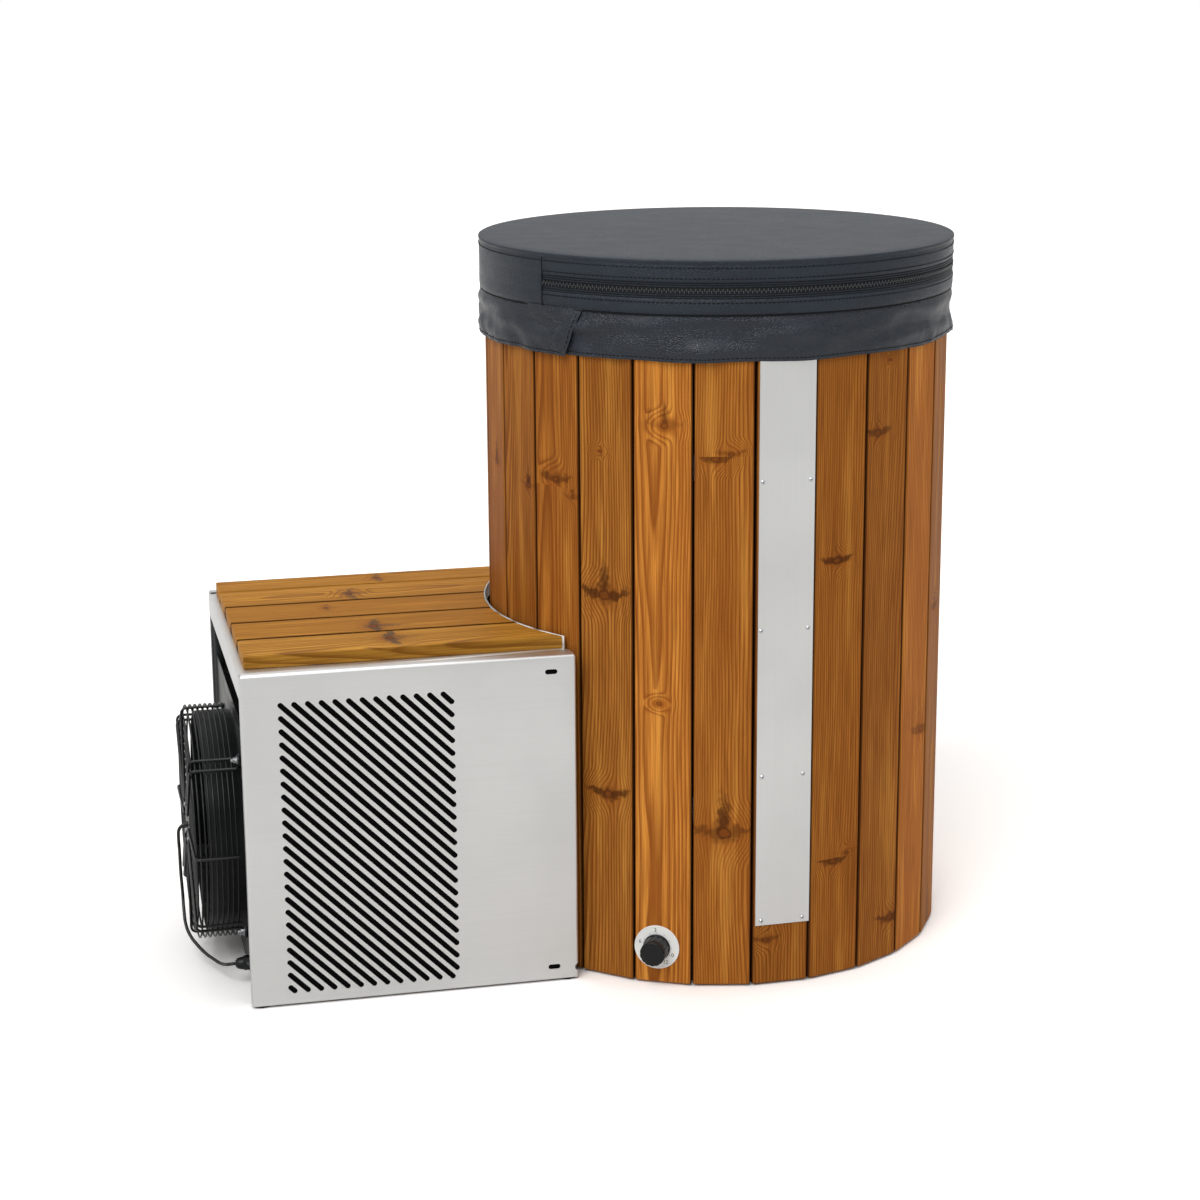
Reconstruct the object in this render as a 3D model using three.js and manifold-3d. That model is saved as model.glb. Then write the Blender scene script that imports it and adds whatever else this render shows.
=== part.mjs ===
// Cold plunge tub: a coopered tub with a padded cover, beside a water chiller with a slatted seat on top.
// Millimetres, +Z up. The origin is on the floor, on the tub's axis. The chiller stands on the -X side.
import * as THREE from 'three';
import { mergeVertices } from 'three/addons/utils/BufferGeometryUtils.js';
import Module from 'manifold-3d';

const wasm = await Module();
wasm.setup();

// Fits
const SEAT = 0.3;
const RUNNING_GAP = 1;

// Staves of the tub, numbered from the one that carries the front plate
const STAVE_COUNT = 25;
const STAVE_PITCH = 95;
const STAVE_GAP = 3;
const STAVE_THICKNESS = 26;
const STAVE_EASING = 2.5;
const STAVE_BOTTOM = 4;
const STAVE_TOP = 1070;
const TUB_TURN = -88.65;

// Base, insulation, liner and the hoops that hold the staves
const BASE_THICKNESS = 36;
const HOOP_HEIGHTS = [270, 820];
const HOOP_WIDTH = 40;
const HOOP_THICKNESS = 2;
const FOAM_FLOOR = 40;
const LINER_RADIUS = 310;
const LINER_WALL = 5;
const LINER_RIM_WIDTH = 58;
const LINER_RIM_THICKNESS = 6;
const LINER_RIM_ROUND = 4;

// Front plate
const PLATE_WIDTH = 89.5;
const PLATE_OFFSET = 2.3;
const PLATE_BOTTOM = 103;
const PLATE_TOP = 1050;
const PLATE_THICKNESS = 2;

// Temperature dial
const DIAL_STAVE = 23;
const DIAL_OFFSET = -9.3;
const DIAL_HEIGHT = 63.3;
const DIAL_PLATE_DIAMETER = 73;
const DIAL_PLATE_THICKNESS = 2;
const KNOB_DIAMETER = 42;
const KNOB_DEPTH = 33;
const KNOB_COLLAR_DIAMETER = 45;
const KNOB_COLLAR_DEPTH = 4;
const KNOB_FLUTES = 14;
const KNOB_FLUTE_DEPTH = 1;
const KNOB_BEVEL = 2.5;
const SPINDLE_DIAMETER = 8;
const CONTROL_SIZE = 44;
const CONTROL_DEPTH = 30;

// Padded cover, its hanging skirt and its zip
const COVER_OVERHANG = 6;
const COVER_TOP = 1164;
const COVER_ROUND = 6;
const SKIRT_BOTTOM = 1007;
const SKIRT_THICKNESS = 3;
const SKIRT_FLARE = 4;
const ZIP_BOTTOM = 1096;
const ZIP_TOP = 1131;
const ZIP_THICKNESS = 2;
const ZIP_START = -149;
const ZIP_END = 120;
const SLIDER_LENGTH = 26;
const SLIDER_HEIGHT = 12;
const SLIDER_DEPTH = 5;
const SLIDER_TAB = 24;

// Chiller casing
const CASE_LEFT = -823;
const CASE_RIGHT = -299;
const CASE_HALF_DEPTH = 280;
const PANEL_BOTTOM = 4;
const PANEL_TOP = 543;
const SHEET = 1.5;
const FOLD_DEPTH = 18;
const FOLD_ROUND = 5;

// Louvres of the front panel
const LOUVRE_LEFT = -762;
const LOUVRE_RIGHT = -497;
const LOUVRE_TOP = 493;
const LOUVRE_BOTTOM = 31;
const LOUVRE_PITCH = 21;
const LOUVRE_WIDTH = 8.6;
const OBLONG_LENGTH = 17.5;
const OBLONG_WIDTH = 6.5;
const OBLONG_INSET = 40;
const OBLONG_HEIGHTS = [517, 25];
const NOTCH_RADIUS = 6;
const NOTCH_HEIGHT = 21;

// Frame
const POST_SIZE = 20;
const POST_ROUND = 5;
const FOOT_DIAMETER = 30;
const FOOT_HEIGHT = 10;
const BASE_PLATE_HEIGHT = 12;
const BASE_PLATE_THICKNESS = 3;
const TUB_CLEARANCE = 11;

// Seat: tray with a rim round the tub, and the slats
const TRAY_HEIGHT = 538;
const TRAY_FLANGE = 38;
const RIM_CLEARANCE = 5.5;
const RIM_THICKNESS = 2;
const RIM_PROUD = 0.5;
const SLAT_PITCH = 105;
const SLAT_GAP = 2.5;
const SLAT_THICKNESS = 20;
const SLAT_EASING = 2;
const SLAT_LEFT_INSET = 12;
const SEAT_LEDGE = 48;
const SEAT_BACK_GAP = 19;
const SLAT_COUNT = 5;

// Fan
const FAN_HEIGHT = 223;
const SHROUD_RECESS = 8;
const SHROUD_TOP = 435;
const COLLAR_RADIUS = 181;
const COLLAR_WALL = 3;
const COLLAR_DEPTH = 58;
const GUARD_RADIUS = 190.5;
const GUARD_DEPTH = 77;
const WIRE_DIAMETER = 4;
const ROD_DIAMETER = 5;
const ROD_WELD = 2;
const SIDE_RINGS = 6;
const SIDE_RING_PITCH = 10.5;
const FACE_RINGS = 3;
const FOOT_ROD_SPREAD = 9;
const GUARD_FOOT_WIDTH = 26;
const GUARD_FOOT_LENGTH = 26;
const GUARD_FOOT_THICKNESS = 3;
const HUB_PLATE_RADIUS = 48;
const HUB_PLATE_THICKNESS = 3;
const MOTOR_RADIUS = 40;
const MOTOR_LENGTH = 40;
const MOTOR_SHAFT_DIAMETER = 10;
const MOTOR_SHAFT_LENGTH = 26;
const IMPELLER_RADIUS = 172;
const IMPELLER_HUB_RADIUS = 50;
const IMPELLER_HUB_LENGTH = 36;
const BLADE_COUNT = 5;
const BLADE_HALF_ANGLE = 22;
const BLADE_PITCH = 24;
const BLADE_THICKNESS = 3;

// Condenser and the duct that joins it to the shroud
const DUCT_DEPTH = 13;
const CORE_HALF_WIDTH = 198;
const CORE_TOP = 421;
const CORE_DEPTH = 44;
const CORE_FIN_COUNT = 24;
const CORE_FIN_GROOVE = 10;

// Refrigeration and water circuit
const COMPRESSOR_PLACE = [-655, 120];
const COMPRESSOR_RADIUS = 78;
const COMPRESSOR_HEIGHT = 235;
const EXCHANGER_PLACE = [-500, -140];
const EXCHANGER_SIZE = [80, 100, 330];
const PUMP_PLACE = [-470, 130];
const PUMP_RADIUS = 48;
const PUMP_HEIGHT = 175;
const HOSE_DIAMETER = 25;
const HOSE_FLANGE_DIAMETER = 40;
const HOSE_FLANGE_THICKNESS = 5;
const HOSE_STAVE = 19;
const SUCTION_HEIGHT = 110;
const RETURN_RISE = 55;
const LINK_DROP = 45;

// Cable gland and the fan's lead
const GLAND_PLACE = [-172, 36];
const GLAND_NUT_RADIUS = 12;
const GLAND_NUT_LENGTH = 10;
const GLAND_DOME_LENGTH = 13;
const LEAD_DIAMETER = 5.5;
const LEAD_ROUTE = [
  [-893.8, 0, 218], [-896.5, 0, 218], [-901.5, 0, 216.8], [-906, 0.5, 213],
  [-908.6, 1, 207.5], [-909.2, 2, 198],
  [-908.5, 6, 170], [-908, 6, 130], [-907, 0, 100], [-907, -14, 74],
  [-906, -32, 56], [-901, -52, 44], [-892, -72, 35], [-881, -94, 28], [-869, -116, 24.5],
  [-860, -138, 25], [-854, -156, 29.5], [-848.5, -168, 34], [-843.5, -172, 36], [-838.7, -172, 36],
];

// Sizes that follow from the ones above
const rad = THREE.MathUtils.degToRad;
const STAVE_STEP = 360 / STAVE_COUNT;
const TUB_FLAT = STAVE_PITCH / 2 / Math.tan(rad(STAVE_STEP / 2));
const TUB_CORNER = TUB_FLAT / Math.cos(rad(STAVE_STEP / 2));
const STAVE_INSIDE = TUB_FLAT - STAVE_THICKNESS;
const HOOP_INSIDE = STAVE_INSIDE - SEAT - HOOP_THICKNESS;
const FOAM_RADIUS = HOOP_INSIDE - SEAT;
const LINER_OUTSIDE = LINER_RADIUS + LINER_WALL;
const LINER_FLOOR = BASE_THICKNESS + SEAT + FOAM_FLOOR + SEAT;
const LINER_RIM_TOP = STAVE_TOP + SEAT + LINER_RIM_THICKNESS;
const COVER_BOTTOM = LINER_RIM_TOP + SEAT;
const COVER_RADIUS = TUB_CORNER + COVER_OVERHANG;
const PANEL_INSIDE = CASE_HALF_DEPTH - SHEET - SEAT;
const POST_LEFT = CASE_LEFT + SHEET + SEAT;
const POST_RIGHT = CASE_RIGHT - SHEET - SEAT;
const FLOOR_TOP = BASE_PLATE_HEIGHT + BASE_PLATE_THICKNESS;
const EXCHANGER_TOP = FLOOR_TOP + SEAT + EXCHANGER_SIZE[2];
const RETURN_HEIGHT = EXCHANGER_TOP + RETURN_RISE;
const LINK_HEIGHT = EXCHANGER_TOP - LINK_DROP;
const TRAY_TOP = TRAY_HEIGHT + SHEET;
const RIM_RADIUS = TUB_CORNER + RIM_CLEARANCE;
const SLAT_TOP = TRAY_TOP + SEAT + SLAT_THICKNESS;
const SLAT_FRONT = -CASE_HALF_DEPTH + SEAT_LEDGE;
const SLAT_BACK = CASE_HALF_DEPTH - SEAT_BACK_GAP;
const SHROUD_FACE = CASE_LEFT + SHROUD_RECESS;
const SHROUD_BACK = SHROUD_FACE + SHEET;
const GUARD_FACE = SHROUD_FACE - GUARD_DEPTH;
const DUCT_BACK = SHROUD_BACK + DUCT_DEPTH;
const CORE_FRONT = DUCT_BACK + SEAT;
const ROUND_SEGMENTS = STAVE_COUNT * 2;

// Finishes
const finish = (color, roughness, metalness) =>
  new THREE.MeshStandardMaterial({ color, roughness, metalness });
const oiledPine = finish('#a9682b', 0.55, 0);
const stainless = finish('#c9c9c6', 0.35, 1);
const blackSteel = finish('#1b1c1d', 0.5, 0.2);
const blackPlastic = finish('#151617', 0.45, 0);
const greyVinyl = finish('#3e4247', 0.6, 0);
const whiteAcrylic = finish('#e9ebea', 0.25, 0);
const paleFoam = finish('#d8cfa6', 0.9, 0);
const darkBoard = finish('#4a3a2a', 0.8, 0);
const bareAluminium = finish('#aeb2b4', 0.45, 1);
const greyRubber = finish('#2b2d2e', 0.8, 0);
const blackPaint = finish('#202224', 0.4, 0.3);

// Closed geometry with shared vertices, no collapsed triangles, and faces pointing out
function closed(geometry) {
  const bare = geometry.clone();
  bare.deleteAttribute('normal');
  bare.deleteAttribute('uv');
  const merged = mergeVertices(bare, 1e-4);
  const at = merged.getAttribute('position');
  const source = merged.getIndex().array;
  const kept = [];
  const [a, b, c] = [new THREE.Vector3(), new THREE.Vector3(), new THREE.Vector3()];
  let volume = 0;
  for (let i = 0; i < source.length; i += 3) {
    const corner = [source[i], source[i + 1], source[i + 2]];
    if (new Set(corner).size < 3) continue;
    kept.push(...corner);
    a.fromBufferAttribute(at, corner[0]);
    b.fromBufferAttribute(at, corner[1]);
    c.fromBufferAttribute(at, corner[2]);
    volume += a.dot(b.cross(c));
  }
  merged.setIndex(volume < 0 ? kept.reverse() : kept);
  return merged;
}

function toSolid(geometry) {
  const shape = closed(geometry);
  const vertProperties = new Float32Array(shape.getAttribute('position').array);
  const triVerts = new Uint32Array(shape.getIndex().array);
  return new wasm.Manifold(new wasm.Mesh({ numProp: 3, vertProperties, triVerts }));
}

function toGeometry(solid) {
  const mesh = solid.getMesh();
  const geometry = new THREE.BufferGeometry();
  geometry.setAttribute('position', new THREE.BufferAttribute(mesh.vertProperties, 3));
  geometry.setIndex(new THREE.BufferAttribute(mesh.triVerts, 1));
  return geometry;
}

const join = (first, ...others) =>
  toGeometry(others.reduce((sum, other) => sum.add(toSolid(other)), toSolid(first)));
const cut = (first, ...others) =>
  toGeometry(others.reduce((rest, other) => rest.subtract(toSolid(other)), toSolid(first)));

function place(parent, name, geometry, material) {
  const mesh = new THREE.Mesh(closed(geometry), material);
  mesh.name = name;
  parent.add(mesh);
}

// Box between two corners
function block(x0, x1, y0, y1, z0, z1) {
  const box = new THREE.BoxGeometry(x1 - x0, y1 - y0, z1 - z0);
  return box.translate((x0 + x1) / 2, (y0 + y1) / 2, (z0 + z1) / 2);
}

const outline = (points) => new THREE.Shape(points.map(([x, y]) => new THREE.Vector2(x, y)));

const upright = (shape, z0, z1, curveSegments = 16) =>
  new THREE.ExtrudeGeometry(shape, { depth: z1 - z0, bevelEnabled: false, curveSegments })
    .translate(0, 0, z0);

// Turned shape about Z from [radius, height] points. A ring's outline closes on its first point
const turned = (points, segments = ROUND_SEGMENTS) =>
  new THREE.LatheGeometry(points.map(([r, z]) => new THREE.Vector2(r, z)), segments).rotateX(Math.PI / 2);

const ring = (points, segments) => turned([...points, points[0]], segments);

// Turned shape about an axis along X, from [radius, x] points
const turnedAlongX = (points, segments) => turned(points, segments).rotateY(Math.PI / 2);

function roundSection(diameter, sides) {
  const corners = Array.from({ length: sides }, (_, i) => (i + 0.5) / sides * 2 * Math.PI);
  return outline(corners.map((t) => [Math.cos(t) * diameter / 2, Math.sin(t) * diameter / 2]));
}

function tube(points, diameter, sides, steps) {
  const path = new THREE.CatmullRomCurve3(points.map((p) => new THREE.Vector3(...p)));
  return new THREE.ExtrudeGeometry(roundSection(diameter, sides), { steps, extrudePath: path });
}

function rod(from, to, diameter, sides) {
  const path = new THREE.LineCurve3(new THREE.Vector3(...from), new THREE.Vector3(...to));
  return new THREE.ExtrudeGeometry(roundSection(diameter, sides), { steps: 1, extrudePath: path });
}

const tubTurn = rad(TUB_TURN);
const staveAngle = (index) => tubTurn + rad(STAVE_STEP * index);

// Group in a stave's own frame: X out of the tub, Y along the face, Z up
function staveFrame(parent, index) {
  const group = new THREE.Group();
  group.rotation.z = staveAngle(index);
  parent.add(group);
  return group;
}

const object = new THREE.Group();
object.name = 'cold_plunge_tub';

// Coopered wall
const holeAlongX = (diameter, x0, x1, y, z) =>
  turnedAlongX([[0, x0], [diameter / 2, x0], [diameter / 2, x1], [0, x1]], 16).translate(0, y, z);

function staveBlank() {
  const outer = (STAVE_PITCH - STAVE_GAP) / 2;
  const inner = STAVE_INSIDE * Math.tan(rad(STAVE_STEP / 2)) - STAVE_GAP / 2;
  const right = [
    [STAVE_INSIDE, inner],
    [TUB_FLAT - STAVE_EASING, outer - STAVE_EASING * (outer - inner) / STAVE_THICKNESS],
    [TUB_FLAT, outer - STAVE_EASING],
  ];
  const left = right.map(([x, y]) => [x, -y]).reverse();
  return upright(outline([...left, ...right]), STAVE_BOTTOM, STAVE_TOP);
}

const HOSE_HOLE = HOSE_DIAMETER + 2 * SEAT;
const SPINDLE_HOLE = SPINDLE_DIAMETER + 2 * RUNNING_GAP;
const wallHole = (diameter, y, z) => holeAlongX(diameter, STAVE_INSIDE - SEAT, TUB_FLAT + SEAT, y, z);

for (let i = 0; i < STAVE_COUNT; i += 1) {
  let blank = staveBlank();
  if (i === DIAL_STAVE) blank = cut(blank, wallHole(SPINDLE_HOLE, DIAL_OFFSET, DIAL_HEIGHT));
  if (i === HOSE_STAVE) {
    blank = cut(blank, wallHole(HOSE_HOLE, 0, SUCTION_HEIGHT), wallHole(HOSE_HOLE, 0, RETURN_HEIGHT));
  }
  place(staveFrame(object, i), `stave_${String(i + 1).padStart(2, '0')}`, blank, oiledPine);
}

// Pieces inside the wall, turned with the staves
const tub = staveFrame(object, 0);

function baseBoard() {
  const corner = (STAVE_INSIDE - SEAT) / Math.cos(rad(STAVE_STEP / 2));
  const angles = Array.from({ length: STAVE_COUNT }, (_, i) => rad(STAVE_STEP * (i + 0.5)));
  return upright(outline(angles.map((t) => [corner * Math.cos(t), corner * Math.sin(t)])), 0, BASE_THICKNESS);
}

// Shape made in a stave's frame, turned into the tub's
const inStave = (geometry, index) => geometry.rotateZ(rad(STAVE_STEP * index));
const hoseHoles = (x0, x1) =>
  [SUCTION_HEIGHT, RETURN_HEIGHT].map((z) => inStave(holeAlongX(HOSE_HOLE, x0, x1, 0, z), HOSE_STAVE));

function insulation() {
  const bottom = BASE_THICKNESS + SEAT;
  const cup = turned([
    [0, bottom], [FOAM_RADIUS, bottom], [FOAM_RADIUS, STAVE_TOP],
    [LINER_OUTSIDE + SEAT, STAVE_TOP], [LINER_OUTSIDE + SEAT, bottom + FOAM_FLOOR], [0, bottom + FOAM_FLOOR],
  ]);
  const half = CONTROL_SIZE / 2 + SEAT;
  const pocket = block(
    STAVE_INSIDE - SEAT - CONTROL_DEPTH - SEAT, STAVE_INSIDE,
    DIAL_OFFSET - half, DIAL_OFFSET + half, DIAL_HEIGHT - half, DIAL_HEIGHT + half,
  );
  return cut(cup, inStave(pocket, DIAL_STAVE), ...hoseHoles(LINER_RADIUS, STAVE_INSIDE));
}

function liner() {
  const rim = LINER_OUTSIDE + LINER_RIM_WIDTH;
  const top = LINER_RIM_TOP;
  const shell = turned([
    [0, LINER_FLOOR], [LINER_OUTSIDE, LINER_FLOOR], [LINER_OUTSIDE, STAVE_TOP + SEAT],
    [rim, STAVE_TOP + SEAT], [rim, top], [LINER_RADIUS + LINER_RIM_ROUND, top],
    [LINER_RADIUS + LINER_RIM_ROUND * 0.3, top - LINER_RIM_ROUND * 0.3],
    [LINER_RADIUS, top - LINER_RIM_ROUND],
    [LINER_RADIUS, LINER_FLOOR + LINER_WALL], [0, LINER_FLOOR + LINER_WALL],
  ]);
  return cut(shell, ...hoseHoles(LINER_RADIUS - LINER_WALL, LINER_OUTSIDE + LINER_WALL));
}

place(tub, 'base_board', baseBoard(), darkBoard);
place(tub, 'insulation', insulation(), paleFoam);
place(tub, 'inner_tub', liner(), whiteAcrylic);
HOOP_HEIGHTS.forEach((z, i) => {
  const corner = 1 / Math.cos(rad(STAVE_STEP / 2));
  const [inside, outside] = [HOOP_INSIDE * corner, (HOOP_INSIDE + HOOP_THICKNESS) * corner];
  const band = ring(
    [[inside, z], [outside, z], [outside, z + HOOP_WIDTH], [inside, z + HOOP_WIDTH]], STAVE_COUNT,
  ).rotateZ(Math.PI / 2 + rad(STAVE_STEP / 2));
  place(tub, `hoop_${i + 1}`, band, stainless);
});

const plateFace = TUB_FLAT + SEAT;
place(tub, 'front_plate', block(
  plateFace, plateFace + PLATE_THICKNESS,
  PLATE_OFFSET - PLATE_WIDTH / 2, PLATE_OFFSET + PLATE_WIDTH / 2, PLATE_BOTTOM, PLATE_TOP,
), stainless);

// Temperature dial: plate, control behind the stave, and the knob on its spindle
const dial = staveFrame(object, DIAL_STAVE);
const dialFace = plateFace + DIAL_PLATE_THICKNESS;

function dialPlate() {
  const [inner, outer] = [SPINDLE_HOLE / 2, DIAL_PLATE_DIAMETER / 2];
  const disc = [[inner, plateFace], [outer, plateFace], [outer, dialFace], [inner, dialFace]];
  return turnedAlongX([...disc, disc[0]], 28).translate(0, DIAL_OFFSET, DIAL_HEIGHT);
}

function knob() {
  const count = KNOB_FLUTES * 2;
  const radius = KNOB_DIAMETER / 2 - KNOB_BEVEL;
  const grip = outline(Array.from({ length: count }, (_, i) => {
    const r = radius - (i % 2) * KNOB_FLUTE_DEPTH;
    const t = i / count * 2 * Math.PI;
    return [r * Math.cos(t), r * Math.sin(t)];
  }));
  const depth = KNOB_DEPTH - KNOB_COLLAR_DEPTH - KNOB_BEVEL;
  const bevel = { bevelThickness: KNOB_BEVEL, bevelSize: KNOB_BEVEL, bevelSegments: 2 };
  const body = new THREE.ExtrudeGeometry(grip, { depth, ...bevel });
  const back = dialFace + SEAT;
  body.rotateY(Math.PI / 2).translate(back + KNOB_COLLAR_DEPTH, 0, 0);
  const collar = turnedAlongX([
    [0, back], [KNOB_COLLAR_DIAMETER / 2, back],
    [KNOB_COLLAR_DIAMETER / 2, back + KNOB_COLLAR_DEPTH], [0, back + KNOB_COLLAR_DEPTH],
  ], 36);
  const tip = STAVE_INSIDE;
  const half = SPINDLE_DIAMETER / 2;
  const spindle = turnedAlongX([[0, tip], [half, tip], [half, back + 1], [0, back + 1]], 16);
  return join(body, collar, spindle).translate(0, DIAL_OFFSET, DIAL_HEIGHT);
}

const controlFront = STAVE_INSIDE - SEAT;
place(dial, 'dial_plate', dialPlate(), stainless);
place(dial, 'dial_knob', knob(), blackPlastic);
place(dial, 'dial_control', block(
  controlFront - CONTROL_DEPTH, controlFront,
  DIAL_OFFSET - CONTROL_SIZE / 2, DIAL_OFFSET + CONTROL_SIZE / 2,
  DIAL_HEIGHT - CONTROL_SIZE / 2, DIAL_HEIGHT + CONTROL_SIZE / 2,
), blackPlastic);

// Padded cover with its skirt, zip and zip slider
function coverPanel() {
  const arc = Array.from({ length: 4 }, (_, i) => rad(i * 30));
  const edge = arc.map((t) => [
    COVER_RADIUS - COVER_ROUND + COVER_ROUND * Math.cos(t),
    COVER_TOP - COVER_ROUND + COVER_ROUND * Math.sin(t),
  ]);
  return turned([[0, COVER_BOTTOM], [COVER_RADIUS, COVER_BOTTOM], ...edge, [0, COVER_TOP]], 60);
}

function coverSkirt() {
  const top = COVER_BOTTOM - SEAT;
  const outside = COVER_RADIUS;
  return ring([
    [outside - SKIRT_THICKNESS, top], [outside + SKIRT_FLARE - SKIRT_THICKNESS, SKIRT_BOTTOM],
    [outside + SKIRT_FLARE, SKIRT_BOTTOM], [outside, top],
  ], 60);
}

function zipStrip() {
  const inside = COVER_RADIUS + SEAT;
  const shape = new THREE.Shape();
  shape.absarc(0, 0, inside + ZIP_THICKNESS, rad(ZIP_START), rad(ZIP_END), false);
  shape.absarc(0, 0, inside, rad(ZIP_END), rad(ZIP_START), true);
  return upright(shape, ZIP_BOTTOM, ZIP_TOP, 36);
}

function zipSlider() {
  const back = COVER_RADIUS + SEAT + ZIP_THICKNESS + SEAT;
  const middle = (ZIP_BOTTOM + ZIP_TOP) / 2;
  const low = middle - SLIDER_HEIGHT / 2;
  const half = SLIDER_LENGTH / 2;
  const body = block(back, back + SLIDER_DEPTH, -half, half, low, low + SLIDER_HEIGHT);
  const tab = block(
    back + SLIDER_DEPTH / 2, back + SLIDER_DEPTH * 0.9, -SLIDER_HEIGHT / 3, SLIDER_HEIGHT / 3,
    middle - SLIDER_TAB, middle,
  );
  return join(body, tab).rotateZ(rad(ZIP_END) - SLIDER_LENGTH / back);
}

place(object, 'cover_panel', coverPanel(), greyVinyl);
place(object, 'cover_skirt', coverSkirt(), greyVinyl);
place(object, 'zip_strip', zipStrip(), blackPlastic);
place(object, 'zip_slider', zipSlider(), blackPlastic);

// Sheet beside the tub, hollowed to a radius about the tub's axis
function hollowSheet(left, right, halfDepth, z0, z1, radius) {
  const hollow = turned([[0, z0 - 1], [radius, z0 - 1], [radius, z1 + 1], [0, z1 + 1]], 60);
  return cut(block(left, right, -halfDepth, halfDepth, z0, z1), hollow);
}

function roundedSquare(size, round) {
  const near = size / 2 - round;
  const shape = new THREE.Shape();
  shape.absarc(near, near, round, 0, Math.PI / 2, false);
  shape.absarc(-near, near, round, Math.PI / 2, Math.PI, false);
  shape.absarc(-near, -near, round, Math.PI, 1.5 * Math.PI, false);
  shape.absarc(near, -near, round, 1.5 * Math.PI, 2 * Math.PI, false);
  return shape;
}

// Welded frame: base plate round the tub, four posts and their feet
function chillerFrame() {
  const half = PANEL_INSIDE - POST_SIZE / 2;
  const plate = hollowSheet(
    POST_LEFT + POST_SIZE / 2, POST_RIGHT - POST_SIZE / 2, half,
    BASE_PLATE_HEIGHT, FLOOR_TOP, TUB_CORNER + TUB_CLEARANCE,
  );
  const parts = [];
  for (const [edgeX, inX] of [[POST_LEFT, 1], [POST_RIGHT, -1]]) {
    for (const [edgeY, inY] of [[-PANEL_INSIDE, 1], [PANEL_INSIDE, -1]]) {
      const post = upright(roundedSquare(POST_SIZE, POST_ROUND), FOOT_HEIGHT / 2, TRAY_HEIGHT - SEAT, 2);
      const r = FOOT_DIAMETER / 2;
      const foot = turned([[0, 0], [r, 0], [r, FOOT_HEIGHT], [0, FOOT_HEIGHT]], 12);
      parts.push(post.translate(edgeX + inX * POST_SIZE / 2, edgeY + inY * POST_SIZE / 2, 0));
      parts.push(foot.translate(edgeX + inX * r, edgeY + inY * r, 0));
    }
  }
  return join(plate, ...parts);
}

// Folded panel: a face with rounded edges and a fold back along its sides and top, drawn in X and Z
function foldedPanel() {
  const pan = (inset, bottom) => {
    const round = FOLD_ROUND - inset;
    const [left, right] = [CASE_LEFT + inset + round, CASE_RIGHT - inset - round];
    const face = outline([
      [left, bottom], [right, bottom], [right, PANEL_TOP - inset - round], [left, PANEL_TOP - inset - round],
    ]);
    const depth = FOLD_DEPTH - FOLD_ROUND;
    const bevel = { bevelThickness: round, bevelSize: round, bevelSegments: 3 };
    return new THREE.ExtrudeGeometry(face, { depth: depth + inset * 3, ...bevel })
      .rotateX(Math.PI / 2).translate(0, -CASE_HALF_DEPTH + FOLD_DEPTH + inset * 3, 0);
  };
  const reach = CASE_HALF_DEPTH;
  const behind = block(
    CASE_LEFT - reach, CASE_RIGHT + reach, -CASE_HALF_DEPTH + FOLD_DEPTH, 0, -reach, PANEL_TOP + reach,
  );
  const below = block(CASE_LEFT - reach, CASE_RIGHT + reach, -2 * reach, 0, -2 * reach, PANEL_BOTTOM);
  return cut(pan(0, 0), pan(SHEET, -reach), behind, below);
}

function longSlot(from, to, width) {
  const along = Math.atan2(to[1] - from[1], to[0] - from[0]);
  const shape = new THREE.Shape();
  shape.absarc(to[0], to[1], width / 2, along - Math.PI / 2, along + Math.PI / 2, false);
  shape.absarc(from[0], from[1], width / 2, along + Math.PI / 2, along + 1.5 * Math.PI, false);
  return shape;
}

// Slanting louvres start along the block's top and left edges and run down at 45 degrees to its other edges
function louvres() {
  const starts = [];
  const [lastX, lastZ] = [LOUVRE_RIGHT - LOUVRE_WIDTH, LOUVRE_BOTTOM - 1];
  for (let x = LOUVRE_LEFT; x < lastX; x += LOUVRE_PITCH) starts.push([x, LOUVRE_TOP]);
  for (let z = LOUVRE_TOP - LOUVRE_PITCH; z > lastZ; z -= LOUVRE_PITCH) starts.push([LOUVRE_LEFT, z]);
  return starts.map(([x, z]) => {
    const run = Math.max(Math.min(LOUVRE_RIGHT - x, z - LOUVRE_BOTTOM), LOUVRE_WIDTH / 2);
    return longSlot([x, z], [x + run, z - run], LOUVRE_WIDTH);
  });
}

function frontPanel() {
  const x = CASE_RIGHT - OBLONG_INSET;
  const half = (OBLONG_LENGTH - OBLONG_WIDTH) / 2;
  const oblongs = OBLONG_HEIGHTS.map((z) => longSlot([x - half, z], [x + half, z], OBLONG_WIDTH));
  const through = new THREE.ExtrudeGeometry(
    [...louvres(), ...oblongs], { depth: FOLD_DEPTH, bevelEnabled: false, curveSegments: 2 },
  ).rotateX(Math.PI / 2).translate(0, -CASE_HALF_DEPTH + FOLD_DEPTH / 2, 0);
  const notch = new THREE.CylinderGeometry(NOTCH_RADIUS, NOTCH_RADIUS, FOLD_DEPTH, 12);
  return cut(foldedPanel(), through, notch.translate(CASE_RIGHT, -CASE_HALF_DEPTH, NOTCH_HEIGHT));
}

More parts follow.
